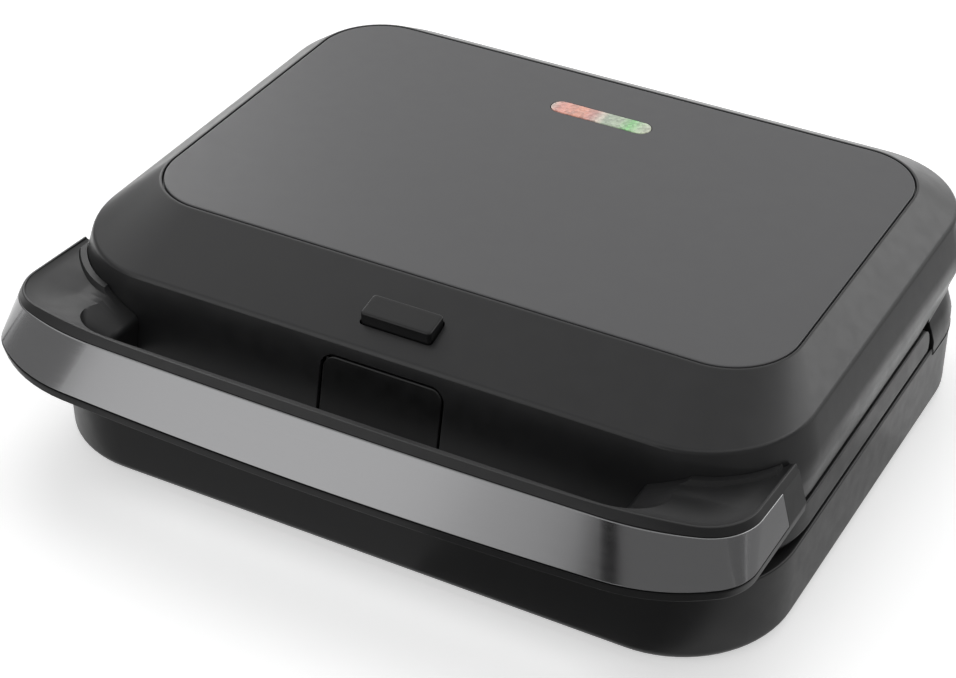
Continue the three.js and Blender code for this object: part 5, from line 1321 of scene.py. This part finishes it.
def make_finishes(settings):
    """All the materials of the object, from the finish settings and the tables."""
    finishes.clear()
    for key, (name, setting, (dark_share, light_share), *rest) in SET_MOULDINGS.items():
        color = getattr(settings, setting)
        finishes[key] = moulded(name, shaded(color, dark_share), shaded(color, light_share), *rest)
    band = tuple(settings.band)
    dark = shaded(band, BAND_DARK_SHARE)
    finishes["band"] = metal("band_gunmetal", dark, band, BAND_ROUGHNESS, *BAND_LINES, "UV")
    for table, make in ((FIXED_MOULDINGS, moulded), (FIXED_METALS, metal)):
        for key, row in table.items():
            finishes[key] = make(*row)
    finishes["lens"] = lens_finish()


LENS_COLOURS = (
    (0.00, (0.62, 0.52, 0.45)),
    (0.08, (0.72, 0.30, 0.24)),
    (0.30, (0.80, 0.33, 0.22)),
    (0.42, (0.62, 0.28, 0.24)),
    (0.50, (0.70, 0.60, 0.50)),
    (0.56, (0.38, 0.46, 0.34)),
    (0.70, (0.42, 0.52, 0.36)),
    (0.80, (0.22, 0.62, 0.20)),
    (0.90, (0.48, 0.62, 0.40)),
    (1.00, (0.62, 0.64, 0.50)),
)
LENS_SHADER = {
    "Base Color": (0.6, 0.5, 0.4, 1),
    "Roughness": 0.18,
    "Specular IOR Level": 0.6,
    "Coat Weight": 1,
    "Coat Roughness": 0.04,
}
FACET_SCALE = 700
# Shares of the lens colour for a facet's painted glint, from the darkest to the brightest
FACET_SHINE = (0.75, 1.5)
FACET_DEPTH = 0.0003


def lens_finish():
    """Clear moulding over a faceted reflector, red at the left end and green at the right, with painted
    glints on its facets.
    """
    material, tree = new_material("lens_facets", LENS_SHADER)
    place = add_node(tree, "ShaderNodeTexCoord").outputs["Object"]
    apart = add_node(tree, "ShaderNodeSeparateXYZ", {0: place})
    along = add_node(tree, "ShaderNodeMapRange", {
        "Value": apart.outputs["X"], "From Min": -LENS_HALF, "From Max": LENS_HALF,
    })
    ramp = add_node(tree, "ShaderNodeValToRGB", {"Fac": along.outputs["Result"]})
    bands = ramp.color_ramp.elements
    for band, (position, color) in zip(bands, (LENS_COLOURS[0], LENS_COLOURS[-1])):
        band.position, band.color = position, (*color, 1)
    for position, color in LENS_COLOURS[1:-1]:
        bands.new(position).color = (*color, 1)
    facets = add_node(tree, "ShaderNodeTexVoronoi", {"Vector": place, "Scale": FACET_SCALE}).outputs
    # Painted glints: each facet's colour is scaled between the two shares of FACET_SHINE
    shine = add_node(tree, "ShaderNodeMapRange", {
        "Value": facets["Color"], "To Min": FACET_SHINE[0], "To Max": FACET_SHINE[1],
    })
    glint = add_node(tree, "ShaderNodeVectorMath", {
        0: ramp.outputs["Color"], "Scale": shine.outputs["Result"],
    }, operation="SCALE")
    fill(tree, principled(tree), {"Base Color": glint.outputs["Vector"]})
    add_grain(tree, facets["Distance"], FACET_DEPTH)
    return material


CAD_FINISHES = {
    "steel": (
        "lower_element_clip_left", "lower_element_clip_right", "upper_element_clip_left",
        "upper_element_clip_right", "lower_reflector", "upper_reflector", "lower_catch_pin",
        "lower_plate_catch", "latch_strike", "hinge_pin_left", "hinge_pin_right", "latch_pin",
        "upper_catch_pin", "upper_plate_catch",
    ),
    "ceramic": (
        "lower_thermostat", "upper_thermostat", "terminal_block", "thermal_fuse",
        "base_lead_left", "base_lead_right", "lid_lead_fuse", "lid_lead_thermostat",
    ),
    "board": ("indicator_board",),
    "light_red": ("heating_light",),
    "light_green": ("ready_light",),
    "shell": ("handle_cover",),
}


def dress_cad_nodes():
    for key, names in CAD_FINISHES.items():
        for name in names:
            for slot in frame["nodes"][name].material_slots:
                slot.material = finishes[key]


# Stage

CAMERA_AZIMUTH = 27.37
CAMERA_ELEVATION = 34.73
CAMERA_ROLL = 0.68
CAMERA_DISTANCE = 0.92003
CAMERA_TARGET = (0.02786, -0.01404, 0.063)
CAMERA_LENS = 90.90
CAMERA_SENSOR = 36
CAMERA_SHIFT = (-0.0700, -0.0212)
CAMERA_REACH = 100
AMBIENT = 0.5
FLOOR_HALF = 20.0
FLOOR_SHADER = {
    "Base Color": (0.9, 0.9, 0.9, 1),
    "Roughness": 1,
    "Specular IOR Level": 0,
    "Emission Color": WHITE,
}
FLOOR_LIFT = 0.5
LAMP_PLACE = (-0.3, 0.5, 1.8)
LAMP_TARGET = (0, 0, 0.05)
LAMP_SIZE = 1.4
LAMP_POWER = 10


def build_camera(settings):
    azimuth, elevation, roll = (math.radians(v) for v in (CAMERA_AZIMUTH, CAMERA_ELEVATION, CAMERA_ROLL))
    level = math.cos(elevation)
    back = Vector((math.sin(azimuth) * level, -math.cos(azimuth) * level, math.sin(elevation)))
    right = Vector((math.cos(azimuth), math.sin(azimuth), 0))
    up = back.cross(right)
    across = right * math.cos(roll) + up * math.sin(roll)
    upright = up * math.cos(roll) - right * math.sin(roll)
    data = bpy.data.cameras.new("camera")
    data.lens = settings.lens
    data.sensor_width = CAMERA_SENSOR
    data.shift_x, data.shift_y = CAMERA_SHIFT
    data.clip_end = CAMERA_REACH
    camera = new_object("camera", data)
    rotation = Matrix((across, upright, back)).transposed().to_4x4()
    camera.matrix_world = Matrix.Translation(Vector(CAMERA_TARGET) + back * CAMERA_DISTANCE) @ rotation
    bpy.context.scene.camera = camera


def seen_rays(tree):
    """A value that is 1 for what the camera, a mirror or a glass sees."""
    path = add_node(tree, "ShaderNodeLightPath").outputs
    seen = path["Is Camera Ray"]
    for other in ("Is Glossy Ray", "Is Transmission Ray"):
        seen = add_node(tree, "ShaderNodeMath", {0: seen, 1: path[other]}, operation="MAXIMUM").outputs[0]
    return seen


def build_world(settings):
    world = bpy.data.worlds.new("studio")
    bpy.context.scene.world = world
    world.use_nodes = True
    tree = world.node_tree
    level = add_node(tree, "ShaderNodeMix", {"Factor": seen_rays(tree), "A": settings.ambient, "B": 1})
    fill(tree, tree.nodes["Background"], {"Color": WHITE, "Strength": level.outputs["Result"]})


def rectangle(name, half_x, half_y, material):
    corners = [(-half_x, -half_y, 0), (half_x, -half_y, 0), (half_x, half_y, 0), (-half_x, half_y, 0)]
    obj = mesh_object(name, corners, [(0, 1, 2, 3)])
    obj.data.materials.append(material)
    return obj


def build_floor():
    material, tree = new_material("floor_white", FLOOR_SHADER)
    lift = add_node(tree, "ShaderNodeMath", {0: seen_rays(tree), 1: FLOOR_LIFT}, operation="MULTIPLY")
    fill(tree, principled(tree), {"Emission Strength": lift.outputs[0]})
    floor = rectangle("floor", FLOOR_HALF, FLOOR_HALF, material)


def aim(obj, place, target):
    way = Vector(target) - Vector(place)
    obj.matrix_world = Matrix.Translation(Vector(place)) @ way.to_track_quat("-Z", "Y").to_matrix().to_4x4()


def build_lamp():
    data = bpy.data.lights.new("overhead", "AREA")
    data.shape = "RECTANGLE"
    data.size = data.size_y = LAMP_SIZE
    data.energy = LAMP_POWER
    lamp = new_object("overhead", data)
    aim(lamp, LAMP_PLACE, LAMP_TARGET)
    lamp.visible_camera = False
    lamp.visible_glossy = False


CARD_TARGET = (0, 0, 0.06)
CARD_LIFT = 0.0005
# Cards that face the object: name, place, size, level
CARDS = (
    ("flag_right", (0.85, -1.23, 0.75), (2.2, 1.5), 0.34),
    ("flag_stripe", (-0.20, -1.44, 0.89), (0.25, 1.1), 0.01),
    ("flag_side", (1.50, 0.05, 0.42), (1.3, 0.8), 0.3),
    ("flag_left", (-1.49, -0.18, 0.42), (2.6, 0.9), 0.42),
    ("flag_top", (-0.2, 0.1, 1.5), (1.6, 1.3), 0.6),
    ("box_front_left", (-0.79, -1.28, 0.56), (0.50, 1.2), 1.5),
    ("box_rear_left", (-1.23, 1.03, 0.74), (0.6, 0.6), 3.2),
    ("box_rear_right", (0.74, 1.34, 0.745), (0.8, 0.5), 2.9),
    ("box_right", (0.905, 0.707, 1.02), (0.9, 0.6), 2.3),
)
# Cards that lie on the floor, dimmer than the lit floor, which only reflections see: painted shade of the
# floor round the object as its reflections show it. Name, place, size, level
FLOOR_SHADE_CARDS = (
    ("ground_front", (-0.39, -0.66), (0.82, 1.1), 0.35),
    ("ground_corner", (0.52, -0.66), (1.0, 1.1), 0.12),
    ("ground_near", (0.182, -0.025), (0.053, 0.17), 0.6),
    ("ground_right", (0.86, 0.545), (1.3, 1.31), 0.46),
)


def build_card(name, place, size, level, target):
    """A card that only reflections see, as a studio places to shape them."""
    material, _ = new_material(name, {
        "Base Color": BLACK, "Specular IOR Level": 0, "Emission Color": WHITE, "Emission Strength": level,
    })
    card = rectangle(name, size[0] / 2, size[1] / 2, material)
    aim(card, place, target)
    for kind in ("camera", "diffuse", "shadow", "transmission"):
        setattr(card, f"visible_{kind}", False)


# Settings, operators and panel

def color_setting(name, description, default):
    return bpy.props.FloatVectorProperty(
        name=name, description=description, subtype="COLOR", size=3, default=default,
    )


def edge_setting(name, description):
    return bpy.props.FloatProperty(name=name, description=description, default=CUT_EDGE, unit="LENGTH")


class FinishSettings(bpy.types.PropertyGroup):
    shell: color_setting("Shell", "Colour of the black mouldings", (0.010, 0.010, 0.0105))
    hood: color_setting("Hood", "Colour of the lid's hood", (0.013, 0.013, 0.0137))
    panel: color_setting("Panel", "Colour of the top panel", (0.092, 0.092, 0.095))
    band: color_setting("Band", "Colour of the handle's metal band", (0.25, 0.25, 0.254))


class EdgeSettings(bpy.types.PropertyGroup):
    hood: edge_setting("Hood edges", "Rounding of the hood's cut edges")
    base: edge_setting("Base edges", "Rounding of the base's cut edges")


class StageSettings(bpy.types.PropertyGroup):
    lens: bpy.props.FloatProperty(
        name="Lens", description="Focal length of the camera in millimetres", default=CAMERA_LENS,
    )
    ambient: bpy.props.FloatProperty(
        name="Ambient light", description="Strength of the light from all round", default=AMBIENT,
    )


def add_pieces(rows, edge=0.0):
    """Builds and finishes pieces from rows of builder, name, body, slot, finish and replaced nodes."""
    for build, name, body, slot, finish, *nodes in rows:
        finish_piece(build(), name, body, finishes[finish], nodes, edge)
    return {"FINISHED"}


class MAKER_OT_finishes(bpy.types.Operator):
    """Make the materials and give the frame's own nodes theirs"""
    bl_idname = "maker.finishes"
    bl_label = "Finishes"

    def execute(self, context):
        make_finishes(context.scene.maker_finishes)
        dress_cad_nodes()
        return {"FINISHED"}


class MAKER_OT_hood(bpy.types.Operator):
    """Build the lid's hood"""
    bl_idname = "maker.hood"
    bl_label = "Hood"

    def execute(self, context):
        rows = [(hood_shell, "hood_shell", "lid", "hood_charcoal", "hood", "lid_hood")]
        return add_pieces(rows, context.scene.maker_edges.hood)


class MAKER_OT_panel(bpy.types.Operator):
    """Build the top panel and the indicator lens"""
    bl_idname = "maker.panel"
    bl_label = "Top panel and lens"

    def execute(self, context):
        return add_pieces([
            (panel_inlay, "panel_inlay", "lid", "panel_grey", "panel", "top_panel"),
            (lens_body, "lens_capsule", "lid", "lens_clear", "lens", "indicator_lens"),
        ])


class MAKER_OT_frame(bpy.types.Operator):
    """Build the lid's frame with its handle, and the band round it"""
    bl_idname = "maker.frame"
    bl_label = "Frame, handle and band"

    def execute(self, context):
        return add_pieces([
            (frame_moulding, "frame_moulding", "lid", "shell_black", "shell", "lid_frame"),
            (band_strip, "band_strip", "lid", "band_metal", "band", "handle_band"),
        ])


class MAKER_OT_base(bpy.types.Operator):
    """Build the base tub and its bottom cover"""
    bl_idname = "maker.base"
    bl_label = "Base"

    def execute(self, context):
        rows = [
            (base_tub, "base_tub", "base", "shell_black", "shell", "base_housing"),
            (cover_plate, "cover_plate", "base", "shell_black", "shell", "base_bottom_cover"),
        ]
        return add_pieces(rows, context.scene.maker_edges.base)


class MAKER_OT_rubber(bpy.types.Operator):
    """Build the feet and the cord inlet's bushing"""
    bl_idname = "maker.rubber"
    bl_label = "Feet and bushing"

    def execute(self, context):
        feet = ("foot_front_left", "foot_front_right", "foot_rear_left", "foot_rear_right")
        return add_pieces([
            (rubber_feet, "rubber_feet", "base", "rubber", "rubber", *feet),
            (inlet_bushing, "inlet_bushing", "base", "rubber", "rubber", "cord_inlet_bushing"),
        ])


class MAKER_OT_plates(bpy.types.Operator):
    """Build the two cooking plates"""
    bl_idname = "maker.plates"
    bl_label = "Cooking plates"

    def execute(self, context):
        return add_pieces([
            (lower_plate, "lower_plate", "base", "plate_coating", "coating", "lower_cooking_plate"),
            (upper_plate, "upper_plate", "lid", "plate_coating", "coating", "upper_cooking_plate"),
        ])


class MAKER_OT_controls(bpy.types.Operator):
    """Build the latch lever and the two release buttons"""
    bl_idname = "maker.controls"
    bl_label = "Lever and buttons"

    def execute(self, context):
        return add_pieces([
            (lever_body, "lever_plate", "latch", "hood_charcoal", "button", "latch_lever"),
            (
                button_body, "upper_button_cap", "upper_button", "shell_black", "button",
                "upper_release_button",
            ),
            (
                lower_button_body, "lower_button_cap", "lower_button", "shell_black", "button",
                "lower_release_button",
            ),
        ])


# Screws of each group: its name's and its nodes' first word, body, places, bottom, length, kinds
SCREW_GROUPS = (
    ("base", "base", BASE_PLACES, FOOT_TOP, SCREW_LENGTH, ("front", "rear")),
    ("frame", "lid", FRAME_PLACES, FRAME_BOTTOM, SCREW_LENGTH, ("side", "rear")),
    ("handle", "lid", HANDLE_PLACES, HANDLE_BOTTOM, HANDLE_SCREW_LENGTH, ("inner", "outer")),
)
# Springs: name, node, length, where the coil starts, how it is turned about the axes
SPRINGS = (
    ("latch_coil", "latch_spring", 0.0192, (-0.0096, -0.0825, 0.0705), (0, QUARTER_TURN, 0)),
    ("upper_coil", "upper_catch_spring", 0.0088, (0.0367, -0.086, 0.055), (0, QUARTER_TURN, 0)),
    ("lower_coil", "lower_catch_spring", 0.0054, (-0.1405, 0.0105, 0.024), (QUARTER_TURN, 0, 0)),
)
ELEMENT_RADIUS = 0.0033
ELEMENT_BEND = 0.011
ELEMENT_PATH = (
    (-0.025, 0.095), (-0.025, 0.058), (-0.105, 0.058), (-0.105, -0.056), (-0.040, -0.056), (-0.040, 0.006),
    (0.040, 0.006), (0.040, -0.056), (0.105, -0.056), (0.105, 0.058), (0.025, 0.058), (0.025, 0.095),
)
LOWER_ELEMENT_Z = 0.0197
ELEMENTS = (("lower", "base", LOWER_ELEMENT_Z), ("upper", "lid", UPPER_ELEMENT_Z))


class MAKER_OT_screws(bpy.types.Operator):
    """Build the screws"""
    bl_idname = "maker.screws"
    bl_label = "Screws"

    def execute(self, context):
        steel = finishes["steel"]
        tree = screw_tree()
        for group, body, places, bottom, length, kinds in SCREW_GROUPS:
            points = [(side * x, y, bottom + CLEAR) for x, y in places for side in (-1, 1)]
            obj = run_tree(mesh_object(group, points, []), tree, {
                "Head radius": SCREW_HEAD, "Head height": SCREW_HEAD_HEIGHT, "Shank radius": SCREW_SHANK,
                "Length": length, "Slot width": SCREW_SLOT, "Material": steel,
            })
            nodes = [f"{group}_screw_{kind}_{side}" for kind in kinds for side in ("left", "right")]
            finish_piece(obj, f"{group}_screws", body, steel, nodes)
        return {"FINISHED"}


class MAKER_OT_springs(bpy.types.Operator):
    """Build the springs of the latch and the catches"""
    bl_idname = "maker.springs"
    bl_label = "Springs"

    def execute(self, context):
        steel = finishes["steel"]
        tree = coil_tree()
        for name, node, length, start, turned in SPRINGS:
            obj = run_tree(mesh_object(name, [start], []), tree, {
                "Turns": length / COIL_PITCH, "Coil radius": COIL_RADIUS, "Wire radius": WIRE_RADIUS,
                "Length": length, "Start": start, "Turned": turned, "Material": steel,
            })
            finish_piece(obj, name, frame["nodes"][node]["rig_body"], steel, [node])
        return {"FINISHED"}


class MAKER_OT_elements(bpy.types.Operator):
    """Build the two heating elements"""
    bl_idname = "maker.elements"
    bl_label = "Heating elements"

    def execute(self, context):
        steel = finishes["dark_steel"]
        tree = tube_tree()
        for side, body, z in ELEMENTS:
            points = [(x, y, z) for x, y in ELEMENT_PATH]
            edges = [(i, i + 1) for i in range(len(points) - 1)]
            obj = run_tree(mesh_object(side, points, [], edges), tree, {
                "Bend radius": ELEMENT_BEND, "Tube radius": ELEMENT_RADIUS, "Material": steel,
            })
            finish_piece(obj, f"{side}_element", body, steel, [f"{side}_heating_element"])
        return {"FINISHED"}


class MAKER_OT_stage(bpy.types.Operator):
    """Build the floor, the light and the camera"""
    bl_idname = "maker.stage"
    bl_label = "Stage"

    def execute(self, context):
        settings = context.scene.maker_stage
        context.scene.view_settings.view_transform = "Standard"
        build_world(settings)
        build_floor()
        build_lamp()
        for row in CARDS:
            build_card(*row, CARD_TARGET)
        # Painted shade: dim cards on the floor take the lit floor's place in reflections
        for name, (x, y), size, level in FLOOR_SHADE_CARDS:
            build_card(name, (x, y, CARD_LIFT), size, level, (x, y, 0))
        build_camera(settings)
        return {"FINISHED"}


STEPS = (
    MAKER_OT_finishes, MAKER_OT_hood, MAKER_OT_panel, MAKER_OT_frame, MAKER_OT_base, MAKER_OT_rubber,
    MAKER_OT_plates, MAKER_OT_controls, MAKER_OT_screws, MAKER_OT_springs, MAKER_OT_elements, MAKER_OT_stage,
)
SETTINGS = {"maker_finishes": FinishSettings, "maker_edges": EdgeSettings, "maker_stage": StageSettings}


class MAKER_PT_pieces(bpy.types.Panel):
    """The pieces of the sandwich maker and their settings"""
    bl_idname = "MAKER_PT_pieces"
    bl_label = "Sandwich maker"
    bl_space_type = "VIEW_3D"
    bl_region_type = "UI"
    bl_category = "Sandwich maker"

    def draw(self, context):
        for key in SETTINGS:
            settings = getattr(context.scene, key)
            for name in type(settings).__annotations__:
                self.layout.prop(settings, name)
        for step in STEPS:
            self.layout.operator(step.bl_idname)


CLASSES = (*SETTINGS.values(), *STEPS, MAKER_PT_pieces)


def register():
    for each in CLASSES:
        bpy.utils.register_class(each)
    for key, group in SETTINGS.items():
        setattr(bpy.types.Scene, key, bpy.props.PointerProperty(type=group))


def unregister():
    for key in SETTINGS:
        delattr(bpy.types.Scene, key)
    for each in reversed(CLASSES):
        bpy.utils.unregister_class(each)


def main():
    register()
    for step in STEPS:
        area, name = step.bl_idname.split(".")
        getattr(getattr(bpy.ops, area), name)()


if __name__ == "__main__":
    main()
